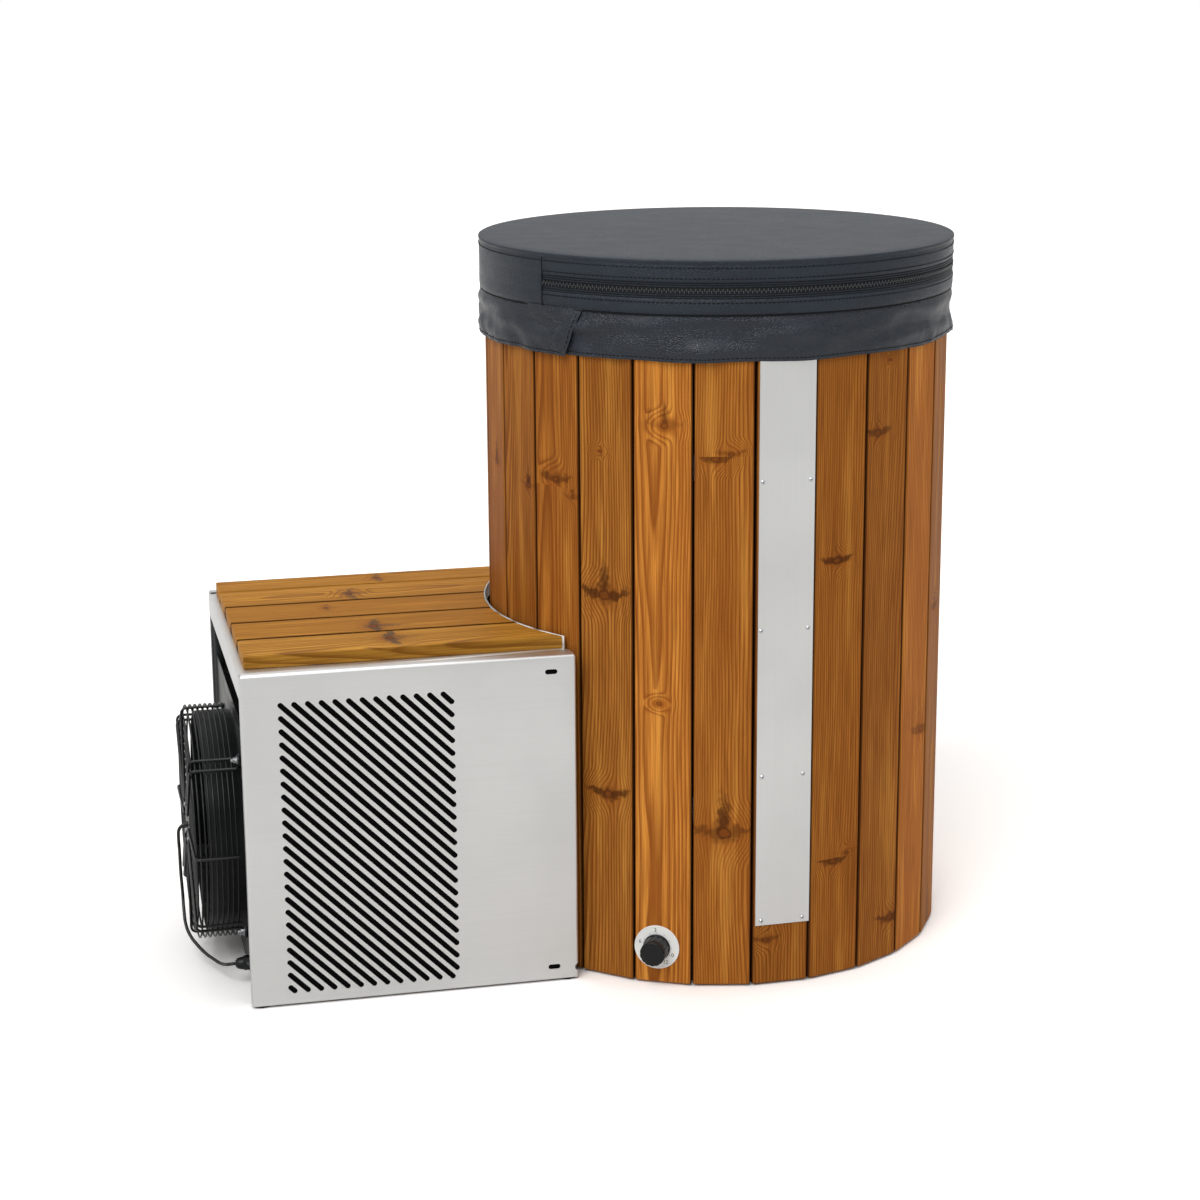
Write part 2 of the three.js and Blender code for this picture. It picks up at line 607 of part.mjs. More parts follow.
// Tray under the slats: sheet, rim round the tub and a flange folded down on the left
function seatTray() {
  const sheet = hollowSheet(
    CASE_LEFT, POST_RIGHT, PANEL_INSIDE - FOLD_ROUND, TRAY_HEIGHT, TRAY_TOP, RIM_RADIUS + RIM_THICKNESS / 2,
  );
  const turn = Math.asin(-SLAT_FRONT / RIM_RADIUS);
  const band = new THREE.Shape();
  band.absarc(0, 0, RIM_RADIUS, Math.PI + turn, Math.PI - turn, true);
  band.absarc(0, 0, RIM_RADIUS + RIM_THICKNESS, Math.PI - turn, Math.PI + turn, false);
  const rim = upright(band, TRAY_HEIGHT, SLAT_TOP + RIM_PROUD);
  const half = CASE_HALF_DEPTH - FOLD_DEPTH - SEAT;
  const flange = block(CASE_LEFT, CASE_LEFT + SHEET, -half, half, TRAY_TOP - TRAY_FLANGE, TRAY_TOP);
  const corners = [-1, 1].map((side) => {
    const [near, far] = [side * half, side * CASE_HALF_DEPTH];
    const box = [Math.min(near, far), Math.max(near, far)];
    return block(CASE_LEFT - 1, POST_LEFT, ...box, TRAY_HEIGHT - 1, TRAY_TOP + 1);
  });
  return cut(join(sheet, rim, flange), ...corners);
}

// Slat along X between two depths, its right end hollowed round the rim
function slat(front, back) {
  const radius = RIM_RADIUS + RIM_THICKNESS + SEAT;
  const left = CASE_LEFT + SLAT_LEFT_INSET;
  const end = (y) => -Math.sqrt(radius ** 2 - y ** 2);
  const shape = new THREE.Shape();
  shape.moveTo(left, front + SLAT_EASING);
  shape.lineTo(left + SLAT_EASING, front);
  shape.lineTo(end(front), front);
  shape.absarc(0, 0, radius, Math.atan2(front, end(front)) + 2 * Math.PI, Math.atan2(back, end(back))
    + (back < 0 ? 2 * Math.PI : 0), true);
  shape.lineTo(left + SLAT_EASING, back);
  shape.lineTo(left, back - SLAT_EASING);
  shape.closePath();
  return upright(shape, TRAY_TOP + SEAT, SLAT_TOP, 6);
}

place(object, 'chiller_frame', chillerFrame(), blackPaint);
place(object, 'front_panel', frontPanel(), stainless);
place(object, 'rear_panel', foldedPanel().scale(1, -1, 1), stainless);
place(object, 'seat_tray', seatTray(), stainless);
for (let i = 0; i < SLAT_COUNT; i += 1) {
  const front = SLAT_FRONT + i * SLAT_PITCH;
  const back = i === SLAT_COUNT - 1 ? SLAT_BACK : front + SLAT_PITCH - SLAT_GAP;
  place(object, `seat_slat_${i + 1}`, slat(front, back), oiledPine);
}

// Fan: shroud with its collar and duct, motor, impeller and wire guard, about an axis along X
const fan = new THREE.Group();
fan.position.z = FAN_HEIGHT;
object.add(fan);
const fanFloor = FLOOR_TOP + SEAT - FAN_HEIGHT;

function fanShroud() {
  const half = PANEL_INSIDE - POST_SIZE - SEAT;
  const plate = block(SHROUD_FACE, SHROUD_BACK, -half, half, fanFloor, SHROUD_TOP - FAN_HEIGHT);
  const tip = SHROUD_FACE - COLLAR_DEPTH;
  const collar = turnedAlongX([
    [0, tip], [COLLAR_RADIUS, tip], [COLLAR_RADIUS, SHROUD_BACK], [0, SHROUD_BACK],
  ], 48);
  const bore = COLLAR_RADIUS - COLLAR_WALL;
  const opening = turnedAlongX([[0, tip - 1], [bore, tip - 1], [bore, DUCT_BACK], [0, DUCT_BACK]], 48);
  const core = CORE_TOP - FAN_HEIGHT;
  const duct = block(SHROUD_FACE, DUCT_BACK, -CORE_HALF_WIDTH, CORE_HALF_WIDTH, fanFloor, core);
  const air = block(
    SHROUD_BACK, DUCT_BACK + 1,
    -CORE_HALF_WIDTH + SHEET, CORE_HALF_WIDTH - SHEET, fanFloor + SHEET, core - SHEET,
  );
  return cut(join(plate, collar, duct), air, opening);
}

function fanMotor() {
  const back = GUARD_FACE + HUB_PLATE_THICKNESS / 2 + SEAT;
  const end = back + MOTOR_LENGTH;
  const shaft = MOTOR_SHAFT_DIAMETER / 2;
  return turnedAlongX([
    [0, back], [MOTOR_RADIUS + 4, back], [MOTOR_RADIUS + 4, back + 5], [MOTOR_RADIUS, back + 8],
    [MOTOR_RADIUS, end - 4], [MOTOR_RADIUS - 4, end], [shaft, end],
    [shaft, end + MOTOR_SHAFT_LENGTH], [0, end + MOTOR_SHAFT_LENGTH],
  ], 20);
}

function fanImpeller() {
  const front = GUARD_FACE + HUB_PLATE_THICKNESS / 2 + SEAT + MOTOR_LENGTH + RUNNING_GAP;
  const back = front + IMPELLER_HUB_LENGTH;
  const bore = MOTOR_SHAFT_DIAMETER / 2 + SEAT;
  const floor = front + MOTOR_SHAFT_LENGTH;
  const hub = turnedAlongX([
    [bore, front], [IMPELLER_HUB_RADIUS - 3, front], [IMPELLER_HUB_RADIUS, front + 3],
    [IMPELLER_HUB_RADIUS, back - 6], [IMPELLER_HUB_RADIUS - 6, back], [0, back],
    [0, floor], [bore, floor], [bore, front],
  ], 30);
  const half = rad(BLADE_HALF_ANGLE);
  const root = IMPELLER_HUB_RADIUS - 4;
  const blades = Array.from({ length: BLADE_COUNT }, (_, i) => {
    const shape = new THREE.Shape();
    shape.absarc(0, 0, IMPELLER_RADIUS, -half, half, false);
    shape.quadraticCurveTo(root * 1.9, root * 0.75, root, root * 0.3);
    shape.lineTo(root, -root * 0.3);
    const tip = [IMPELLER_RADIUS * Math.cos(half), -IMPELLER_RADIUS * Math.sin(half)];
    shape.quadraticCurveTo(root * 1.9, -root * 0.45, ...tip);
    const plan = { depth: BLADE_THICKNESS, bevelEnabled: false, curveSegments: 5 };
    return new THREE.ExtrudeGeometry(shape, plan).translate(0, 0, -BLADE_THICKNESS / 2)
      .rotateX(rad(BLADE_PITCH)).rotateY(Math.PI / 2).rotateX(i / BLADE_COUNT * 2 * Math.PI)
      .translate((front + back) / 2, 0, 0);
  });
  return join(hub, ...blades);
}

// Wire basket: rings round the side and over the face, single rods, and double rods that end in the feet
function fanGuard() {
  const hoop = (radius, x) =>
    new THREE.TorusGeometry(radius, WIRE_DIAMETER / 2, 4, 24).rotateY(Math.PI / 2).translate(x, 0, 0);
  const seat = SHROUD_FACE - SEAT;
  const parts = [];
  for (let i = 1; i <= SIDE_RINGS; i += 1) parts.push(hoop(GUARD_RADIUS, GUARD_FACE + i * SIDE_RING_PITCH));
  for (let i = 1; i <= FACE_RINGS; i += 1) {
    const step = (GUARD_RADIUS - HUB_PLATE_RADIUS) / FACE_RINGS;
    parts.push(hoop(HUB_PLATE_RADIUS + i * step, GUARD_FACE));
  }
  const plate = HUB_PLATE_THICKNESS / 2;
  const hub = turnedAlongX([
    [0, GUARD_FACE - plate], [HUB_PLATE_RADIUS, GUARD_FACE - plate],
    [HUB_PLATE_RADIUS, GUARD_FACE + plate], [0, GUARD_FACE + plate],
  ], 24);
  const lift = (WIRE_DIAMETER + ROD_DIAMETER) / 2 - ROD_WELD;
  const [out, over] = [GUARD_RADIUS + lift, GUARD_FACE - lift];
  const bentRod = (angle, aside, end) => {
    const face = rod([over, aside, HUB_PLATE_RADIUS - 8], [over, aside, out + 1], ROD_DIAMETER, 4);
    const side = rod([over - 1, aside, out], [end, aside, out], ROD_DIAMETER, 4);
    return [face, side].map((g) => g.rotateX(angle));
  };
  for (let i = 0; i < 8; i += 1) {
    const angle = i * Math.PI / 4;
    if (i % 2 === 0) {
      parts.push(...bentRod(angle, 0, GUARD_FACE + SIDE_RINGS * SIDE_RING_PITCH + WIRE_DIAMETER / 2));
      continue;
    }
    const end = seat - GUARD_FOOT_THICKNESS / 2;
    parts.push(...bentRod(angle, -FOOT_ROD_SPREAD, end), ...bentRod(angle, FOOT_ROD_SPREAD, end));
    const half = GUARD_FOOT_WIDTH / 2;
    const low = out - ROD_DIAMETER;
    const foot = block(seat - GUARD_FOOT_THICKNESS, seat, -half, half, low, low + GUARD_FOOT_LENGTH);
    parts.push(foot.rotateX(angle));
  }
  return join(hub, ...parts);
}

place(fan, 'fan_shroud', fanShroud(), blackPaint);
place(fan, 'fan_motor', fanMotor(), blackPaint);
place(fan, 'fan_impeller', fanImpeller(), blackPlastic);
place(fan, 'fan_guard', fanGuard(), blackSteel);

// Condenser: a finned block behind the duct
function condenserCore() {
  const pitch = 2 * CORE_HALF_WIDTH / CORE_FIN_COUNT;
  const back = CORE_FRONT + CORE_DEPTH;
  const groove = CORE_FRONT + CORE_FIN_GROOVE;
  const comb = [[back, -CORE_HALF_WIDTH], [back, CORE_HALF_WIDTH]];
  for (let i = 0; i < CORE_FIN_COUNT; i += 1) {
    const y = CORE_HALF_WIDTH - i * pitch;
    comb.push([CORE_FRONT, y], [CORE_FRONT, y - pitch / 2]);
    if (i < CORE_FIN_COUNT - 1) comb.push([groove, y - pitch / 2], [groove, y - pitch]);
  }
  comb.push([CORE_FRONT, -CORE_HALF_WIDTH]);
  return upright(outline(comb), FLOOR_TOP + SEAT, CORE_TOP);
}

// Hermetic compressor: a drum with domed ends on a foot plate
function compressor() {
  const r = COMPRESSOR_RADIUS;
  const base = FLOOR_TOP + SEAT;
  const top = base + COMPRESSOR_HEIGHT;
  return turned([
    [0, base], [r, base], [r, base + 6], [r - 14, base + 10], [r - 8, base + 34], [r - 8, base + 96],
    [r - 4, base + 98], [r - 4, base + 108], [r - 8, base + 110], [r - 8, top - 44],
    [r - 24, top - 16], [r - 52, top], [0, top],
  ], 20).translate(...COMPRESSOR_PLACE, 0);
}

// Pump: volute below, motor above
function pump() {
  const r = PUMP_RADIUS;
  const base = FLOOR_TOP + SEAT;
  const top = base + PUMP_HEIGHT;
  return turned([
    [0, base], [r - 6, base], [r - 6, base + 60], [r, base + 64], [r, base + 122], [r - 10, base + 126],
    [r - 10, top - 6], [r - 16, top], [0, top],
  ], 20).translate(...PUMP_PLACE, 0);
}

place(object, 'condenser_core', condenserCore(), bareAluminium);
place(object, 'compressor', compressor(), blackPaint);
place(object, 'circulation_pump', pump(), blackPlastic);
const [exchangerX, exchangerY] = EXCHANGER_PLACE;
const [exchangerWidth, exchangerDepth] = EXCHANGER_SIZE;
place(object, 'heat_exchanger', block(
  exchangerX - exchangerWidth / 2, exchangerX + exchangerWidth / 2,
  exchangerY - exchangerDepth / 2, exchangerY + exchangerDepth / 2, FLOOR_TOP + SEAT, EXCHANGER_TOP,
), stainless);

// Water hoses. The two that enter the tub end in a flange inside the liner
const hoseAngle = staveAngle(HOSE_STAVE);
const radialPoint = (radius, z) => [radius * Math.cos(hoseAngle), radius * Math.sin(hoseAngle), z];

function wallFitting(z) {
  const hollow = HOSE_FLANGE_DIAMETER ** 2 / 8 / LINER_RADIUS;
  const face = LINER_RADIUS * Math.cos(Math.PI / ROUND_SEGMENTS) - SEAT - hollow;
  const [flange, pipe] = [HOSE_FLANGE_DIAMETER / 2, HOSE_DIAMETER / 2];
  const outside = TUB_CORNER + RIM_CLEARANCE;
  return turnedAlongX([
    [0, face - HOSE_FLANGE_THICKNESS], [flange, face - HOSE_FLANGE_THICKNESS], [flange, face], [pipe, face],
    [pipe, outside], [0, outside],
  ], 16).translate(0, 0, z).rotateZ(hoseAngle);
}

function wallHose(z, points) {
  const inside = radialPoint(TUB_CORNER, z);
  const out = radialPoint(TUB_CORNER + HOSE_DIAMETER, z);
  return join(wallFitting(z), tube([inside, out, ...points], HOSE_DIAMETER, 8, 14));
}

const [pumpX, pumpY] = PUMP_PLACE;
const pumpFront = pumpY - PUMP_RADIUS + 6 - 3 * SEAT;
place(object, 'suction_hose', wallHose(SUCTION_HEIGHT, [
  [pumpX + 32, -26, SUCTION_HEIGHT - 5], [pumpX + 6, 0, SUCTION_HEIGHT - 20],
  [pumpX, 36, SUCTION_HEIGHT - 44],
  [pumpX, pumpFront - 20, SUCTION_HEIGHT - 50], [pumpX, pumpFront, SUCTION_HEIGHT - 50],
]), greyRubber);
place(object, 'return_hose', wallHose(RETURN_HEIGHT, [
  [exchangerX + 50, exchangerY + 68, RETURN_HEIGHT + 2],
  [exchangerX + 16, exchangerY + 22, RETURN_HEIGHT - 6],
  [exchangerX, exchangerY, RETURN_HEIGHT - 34], [exchangerX, exchangerY, EXCHANGER_TOP + SEAT],
]), greyRubber);
const pumpTop = FLOOR_TOP + SEAT + PUMP_HEIGHT;
place(object, 'link_hose', tube([
  [pumpX, pumpY, pumpTop + SEAT], [pumpX, pumpY, pumpTop + 30], [pumpX - 8, pumpY - 30, LINK_HEIGHT - 25],
  [exchangerX + 8, 20, LINK_HEIGHT - 4], [exchangerX, exchangerY + exchangerDepth / 2 + 30, LINK_HEIGHT],
  [exchangerX, exchangerY + exchangerDepth / 2 + SEAT, LINK_HEIGHT],
], HOSE_DIAMETER, 8, 14), greyRubber);

// Cable gland on the shroud, and the fan's lead from the motor to the gland
function cableGland() {
  const seat = SHROUD_FACE - SEAT;
  const shoulder = seat - GLAND_NUT_LENGTH;
  const tip = shoulder - GLAND_DOME_LENGTH;
  const r = GLAND_NUT_RADIUS;
  const nut = turnedAlongX([[0, seat], [r, seat], [r, shoulder], [0, shoulder]], 6);
  const dome = turnedAlongX([
    [0, shoulder + 1], [r * 0.86, shoulder + 1], [r * 0.86, shoulder - 3],
    [r * 0.7, tip + 3], [r * 0.45, tip], [0, tip],
  ], 18);
  return join(nut, dome).translate(0, ...GLAND_PLACE);
}

place(object, 'cable_gland', cableGland(), blackPlastic);
place(object, 'fan_lead', tube(LEAD_ROUTE, LEAD_DIAMETER, 6, 32), blackPlastic);

export default object;
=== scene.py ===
# Cold plunge tub with its chiller: the camera, the light, the finishes and the pieces with fine detail.
# Metres in the frame of the solids. Sizes below are in millimetres and turned to metres by MM.
from functools import partial
from math import atan2, copysign, cos, hypot, pi, radians, sin, tan, tau

import bmesh
import bpy
from mathutils import Matrix, Vector, noise


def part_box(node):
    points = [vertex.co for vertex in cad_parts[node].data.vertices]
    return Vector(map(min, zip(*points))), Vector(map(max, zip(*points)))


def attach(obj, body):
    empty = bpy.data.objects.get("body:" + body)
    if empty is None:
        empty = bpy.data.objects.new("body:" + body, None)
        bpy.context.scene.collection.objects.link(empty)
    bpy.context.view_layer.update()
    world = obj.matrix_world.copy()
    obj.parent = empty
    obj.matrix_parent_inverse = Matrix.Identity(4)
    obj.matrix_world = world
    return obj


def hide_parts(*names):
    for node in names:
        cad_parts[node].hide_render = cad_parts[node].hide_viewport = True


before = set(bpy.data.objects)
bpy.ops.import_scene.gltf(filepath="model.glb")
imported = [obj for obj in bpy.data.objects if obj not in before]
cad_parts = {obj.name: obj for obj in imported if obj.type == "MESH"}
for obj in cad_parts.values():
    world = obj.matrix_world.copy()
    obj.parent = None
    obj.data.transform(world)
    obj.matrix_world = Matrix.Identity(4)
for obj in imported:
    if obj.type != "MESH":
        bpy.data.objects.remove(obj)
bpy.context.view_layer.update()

moved = Matrix.Translation
rotated = Matrix.Rotation

MM = 0.001
TUB = "tub_and_chiller"

# Tub: the staves are numbered from the one that carries the front plate
STAVE_COUNT = 25
STAVE_STEP = radians(360 / STAVE_COUNT)
STAVE_PITCH = 95 * MM
TUB_TURN = radians(-88.65)
TUB_FLAT = STAVE_PITCH / 2 / tan(STAVE_STEP / 2)
TUB_CORNER = 379 * MM
DIAL_STAVE = 24

# Cover
COVER_RADIUS = 385 * MM
ZIP_START = radians(-149)
ZIP_END = radians(120)

# Fan
FAN_AXIS = Vector((0, 0, 223 * MM))
SHROUD_FACE = -815 * MM
GUARD_FACE = -892 * MM
GUARD_RADIUS = 190.5 * MM


def linked(name, data):
    """A new object in the scene."""
    made = bpy.data.objects.new(name, data)
    bpy.context.collection.objects.link(made)
    return made


def corners(node):
    """The low and the high corner of a solid's box."""
    return [Vector(corner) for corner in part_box(node)]


# Camera, solved from the photograph's stave joints, panel corners and slat joints
PHOTO_PIXELS = 1200
FOCAL_PIXELS = 2613.7
CAMERA_PLACE = Vector((-1138.2, -4117.8, 1637.0)) * MM
CAMERA_HEADING = radians(-12.885)
CAMERA_TILT = radians(90 - 14.381)
CAMERA_ROLL = radians(-0.362)

lens = bpy.data.cameras.new("camera")
lens.sensor_width = 36
lens.lens = FOCAL_PIXELS / PHOTO_PIXELS * lens.sensor_width
camera = linked("camera", lens)
camera.matrix_world = (
    moved(CAMERA_PLACE)
    @ rotated(CAMERA_HEADING, 4, "Z")
    @ rotated(CAMERA_TILT, 4, "X")
    @ rotated(CAMERA_ROLL, 4, "Z")
)
bpy.context.scene.camera = camera
bpy.context.scene.view_settings.view_transform = "Standard"


# Material tools
def linear(code):
    """Linear colour of an sRGB hex code."""
    parts = [int(code[i:i + 2], 16) / 255 for i in (1, 3, 5)]
    return (*[c / 12.92 if c <= 0.04045 else ((c + 0.055) / 1.055) ** 2.4 for c in parts], 1)


def fill(made, inputs):
    """Sets a node's inputs to values or hex colours, or links them to sockets."""
    for key, value in inputs.items():
        if isinstance(value, bpy.types.NodeSocket):
            made.id_data.links.new(value, made.inputs[key])
        else:
            made.inputs[key].default_value = linear(value) if isinstance(value, str) else value


def add_node(tree, kind, *values, out=0, named=None, **settings):
    """Adds a shader node, fills the inputs it shows in order or by name, and gives back one output.
    What a node of arithmetic does stands after its kind."""
    kind, *operation = kind.split()
    made = tree.nodes.new("ShaderNode" + kind)
    if operation:
        made.operation = operation[0]
    for key, value in settings.items():
        setattr(made, key, value)
    shown = [i for i, socket in enumerate(made.inputs) if socket.enabled]
    fill(made, {**dict(zip(shown, values)), **(named or {})})
    return made.outputs[out]


# Settings of a node that mixes colours, and of a range with soft ends
TINT = {"data_type": "RGBA", "out": 2}
SOFT = {"interpolation_type": "SMOOTHSTEP"}


def new_finish(name, **inputs):
    """A material, its shader, and the helper that adds nodes to it."""
    material = bpy.data.materials.new(name)
    material.use_nodes = True
    shader = material.node_tree.nodes["Principled BSDF"]
    fill(shader, {key.replace("_", " "): value for key, value in inputs.items()})
    return material, shader, partial(add_node, material.node_tree)


def per_metre(size_mm):
    """Texture scale at which one cell or wave of a pattern measures this many millimetres."""
    return 1 / (size_mm * MM)


# Thermally treated pine, planed and oiled: amber earlywood, narrow brown latewood lines that arch up the
# board, fine fibres, dark resinous knots with wings, and a low satin gloss from the oil.
# The board map holds the place on the board, with whole metres to tell the boards apart. The joint map holds
# the distance across it towards a neighbour, and how light the board is. The knot map holds the place from
# the nearest knot, in half widths of its eye.
def oiled_pine(name, half_width, pales, browns, knot_tone):
    material, shader, add = new_finish(name, Specular_IOR_Level=0.05)
    board_map = add("UVMap", uv_map="board")
    split = add("SeparateXYZ", board_map).node.outputs
    number = add("Math ROUND", split["X"])
    across = add("Math SUBTRACT", split["X"], number)
    along = split["Y"]
    chance = add("TexWhiteNoise", number, noise_dimensions="1D", out="Color")
    dice = add("SeparateColor", chance).node.outputs

    knot, kind, joint = [add("SeparateXYZ", add("UVMap", uv_map=name)).node.outputs
                         for name in ("knot", "knot_kind", "joint")]
    knot_side = add("Math ABSOLUTE", knot["X"])
    knot_tall = add("Math MULTIPLY", knot["Y"], 1.4)
    knot_place = add("CombineXYZ", knot["X"], knot_tall)
    ragged = add("TexNoise", board_map, per_metre(12), 3, out="Fac")
    ragged = add("MapRange", ragged, 0.3, 0.7, -0.5, 0.5)
    reach = add("VectorMath LENGTH", knot_place, out="Value")
    bow = add("MapRange", reach, 0.2, 7, 1, 0, interpolation_type="SMOOTHERSTEP")
    reach = add("Math MULTIPLY_ADD", ragged, 0.5, reach)

    drift_place = add("CombineXYZ", across, along, number)
    drift_place = add("VectorMath MULTIPLY", drift_place, (6, 1.4, 7.3))
    drift = add("TexNoise", drift_place, 1, 2, out="Color")
    drift = add("SeparateColor", drift).node.outputs

    # Distance from the heart of the log: the board lies off it and tilts along its length
    heart = add("MapRange", dice["Red"], 0, 1, -0.1, 0.1)
    sway = add("MapRange", drift["Red"], 0.25, 0.75, -0.009, 0.009)
    side = add("Math SUBTRACT", across, heart)
    side = add("Math ADD", side, sway)
    push = add("Math MULTIPLY", knot["X"], bow)
    side = add("Math MULTIPLY_ADD", push, -0.006, side)
    tilt = add("MapRange", dice["Green"], 0, 1, -0.035, 0.035)
    deep = add("Math MULTIPLY_ADD", along, tilt, 0.03)
    deep = add("Math MULTIPLY_ADD", drift["Green"], 0.03, deep)
    deep = add("Math MULTIPLY_ADD", bow, 0.012, deep)
    radius = add("CombineXYZ", side, deep)
    radius = add("VectorMath LENGTH", radius, out="Value")
    spacing = add("MapRange", dice["Blue"], 0, 1, per_metre(5.4), per_metre(3.6))
    ring = add("Math MULTIPLY", radius, spacing)
    ring = add("Math FRACT", ring)
    late = add("MapRange", ring, 0.25, 0.9, 0, 1, **SOFT)
    ring_end = add("MapRange", ring, 0.9, 1, 1, 0)
    late = add("Math MULTIPLY", late, ring_end)

    fibre_place = add("VectorMath MULTIPLY", board_map, (per_metre(2), per_metre(110), 1))
    fibre = add("TexNoise", fibre_place, 1, 4, out="Fac")
    patch_place = add("VectorMath MULTIPLY", board_map, (per_metre(22), per_metre(420), 1))
    patch = add("TexNoise", patch_place, 1, 3, out="Fac")

    pale = add("Mix", dice["Green"], pales[0], pales[1], **TINT)
    brown = add("Mix", dice["Blue"], browns[0], browns[1], **TINT)
    grain = add("Math MULTIPLY", late, 0.88)
    streak = add("MapRange", fibre, 0.4, 0.68, 0, 0.7)
    cloud = add("MapRange", patch, 0.35, 0.75, 0, 0.65)
    shine = add("MapRange", patch, 0.3, 0.45, 0.35, 0)

    # Heart line: a thin broken dark streak where the board holds the pith
    heart_line = add("Math ABSOLUTE", side)
    heart_line = add("MapRange", heart_line, 0.0005, 0.0026, 1, 0)
    broken = add("MapRange", drift["Blue"], 0.46, 0.58, 0, 0.75)
    heart_line = add("Math MULTIPLY", heart_line, broken)

    # Knot: a warm halo, dark wings that curl up to both sides, a streaky flame above, and a small ringed eye.
    # The kind map holds how strong the wings and the flame are.
    halo = add("MapRange", reach, 0.6, 4.5, 0.5, 0, **SOFT)
    curl = add("Math MULTIPLY", knot["X"], knot["X"])
    wing_line = add("Math MULTIPLY_ADD", curl, -0.055, knot["Y"])
    wing_line = add("Math ADD", wing_line, ragged)
    wing_line = add("Math ABSOLUTE", wing_line)
    wing_gauge = add("MapRange", knot_side, 0.3, 4.6, 1.5, 0.25)
    wing = add("Math DIVIDE", wing_line, wing_gauge)
    wing = add("MapRange", wing, 0.2, 1, 0.8, 0, **SOFT)
    wing_end = add("MapRange", knot_side, 2.6, 4.8, 1, 0, **SOFT)
    for factor in (wing_end, kind["X"]):
        wing = add("Math MULTIPLY", wing, factor)
    flame_gauge = add("MapRange", knot["Y"], 0, 6, 1.5, 0.3)
    flame = add("Math MULTIPLY_ADD", ragged, 0.9, knot_side)
    flame = add("Math DIVIDE", flame, flame_gauge)
    flame = add("MapRange", flame, 0.2, 1, 0.85, 0, **SOFT)
    flame_end = add("MapRange", knot["Y"], 1.5, 6.5, 1, 0, **SOFT)
    flame_start = add("MapRange", knot["Y"], -1.4, 0, 0, 1)
    for factor in (flame_end, flame_start, kind["Y"]):
        flame = add("Math MULTIPLY", flame, factor)
    dark = add("Math MAXIMUM", wing, flame)
    body = add("MapRange", reach, 0.7, 1, 0.9, 0, **SOFT)
    years = add("Math MULTIPLY", reach, 4)
    years = add("Math FRACT", years)
    eye = add("Mix", years, "#874a1b", "#653511", **TINT)
    rim = add("MapRange", reach, 0.5, 0.85, 0, 0.85)
    eye = add("Mix", rim, eye, "#34190a", **TINT)

    # What lies over the pale wood, from the lowest layer up
    layers = [
        (grain, brown), (streak, browns[0]), (cloud, browns[1]), (shine, "#d0913f"),
        (heart_line, "#3d1c08"), (halo, "#94511a"), (dark, knot_tone), (body, eye),
    ]
    colour = pale
    for amount, tint in layers:
        colour = add("Mix", amount, colour, tint, **TINT)

    # Painted shade in the joints: darker towards the edges where the boards meet
    colour = add("VectorMath SCALE", colour, joint["Y"])
    joint_shade = add("Math ABSOLUTE", joint["X"])
    joint_shade = add("MapRange", joint_shade, half_width - 2.5 * MM, half_width + 1 * MM, 0, 0.85)
    # Painted shade: a dark brown laid over the wood near each joint
    colour = add("Mix", joint_shade, colour, "#2b1508", **TINT)

    gloss = add("MapRange", late, 0, 1, 0.55, 0.42)
    height = add("Math MULTIPLY_ADD", late, 0.6, fibre)
    bump = add("Bump", 0.25, 0.4 * MM, named={"Height": height})
    fill(shader, {"Base Color": colour, "Roughness": gloss, "Normal": bump})
    return material


# Stainless sheet, cold rolled and lightly brushed: even pale grey, with soft reflections drawn out along
# the brushing
def satin_stainless(name, brushing):
    material, shader, add = new_finish(name, Metallic=1.0)
    place = add("TexCoord", out="Object")
    stretched = add("VectorMath MULTIPLY", place, brushing)
    lines = add("TexNoise", stretched, 1, 3, out="Fac")
    smudge = add("TexNoise", place, per_metre(160), 3, out="Fac")
    tone = add("Mix", lines, "#dadbda", "#e1e2e1", **TINT)
    haze = add("MapRange", smudge, 0.35, 0.7, 0, 0.3)
    tone = add("Mix", haze, tone, "#cdcdcc", **TINT)
    gloss = add("MapRange", smudge, 0.3, 0.7, 0.36, 0.46)
    bump = add("Bump", 0.06, 0.1 * MM, named={"Height": lines})
    fill(shader, {"Base Color": tone, "Roughness": gloss, "Normal": bump})
    return material


# Bright zinc plate on bolts and screws: cool grey with a light mottling
def zinc_plate():
    material, shader, add = new_finish("zinc_plated_steel", Metallic=1.0)
    place = add("TexCoord", out="Object")
    flecks = add("TexNoise", place, per_metre(4), 2, out="Fac")
    tone = add("Mix", flecks, "#a9adb0", "#d5d8da", **TINT)
    gloss = add("MapRange", flecks, 0.3, 0.7, 0.22, 0.36)
    fill(shader, {"Base Color": tone, "Roughness": gloss})
    return material


# Coated or moulded surface: one colour with a soft cloud, a fine orange peel or moulded grain, and its
# own gloss
def moulded(name, dark, light, grain, roughness, bump_strength=0.15, **inputs):
    material, shader, add = new_finish(name, **inputs)
    place = add("TexCoord", out="Object")
    cloud = add("TexNoise", place, per_metre(70), 3, out="Fac")
    peel = add("TexNoise", place, per_metre(grain), 2, out="Fac")
    tone = add("Mix", cloud, dark, light, **TINT)
    gloss = add("MapRange", cloud, 0.3, 0.7, roughness - 0.06, roughness + 0.06)
    bump = add("Bump", bump_strength, 0.3 * MM, named={"Height": peel})
    fill(shader, {"Base Color": tone, "Roughness": gloss, "Normal": bump})
    return material


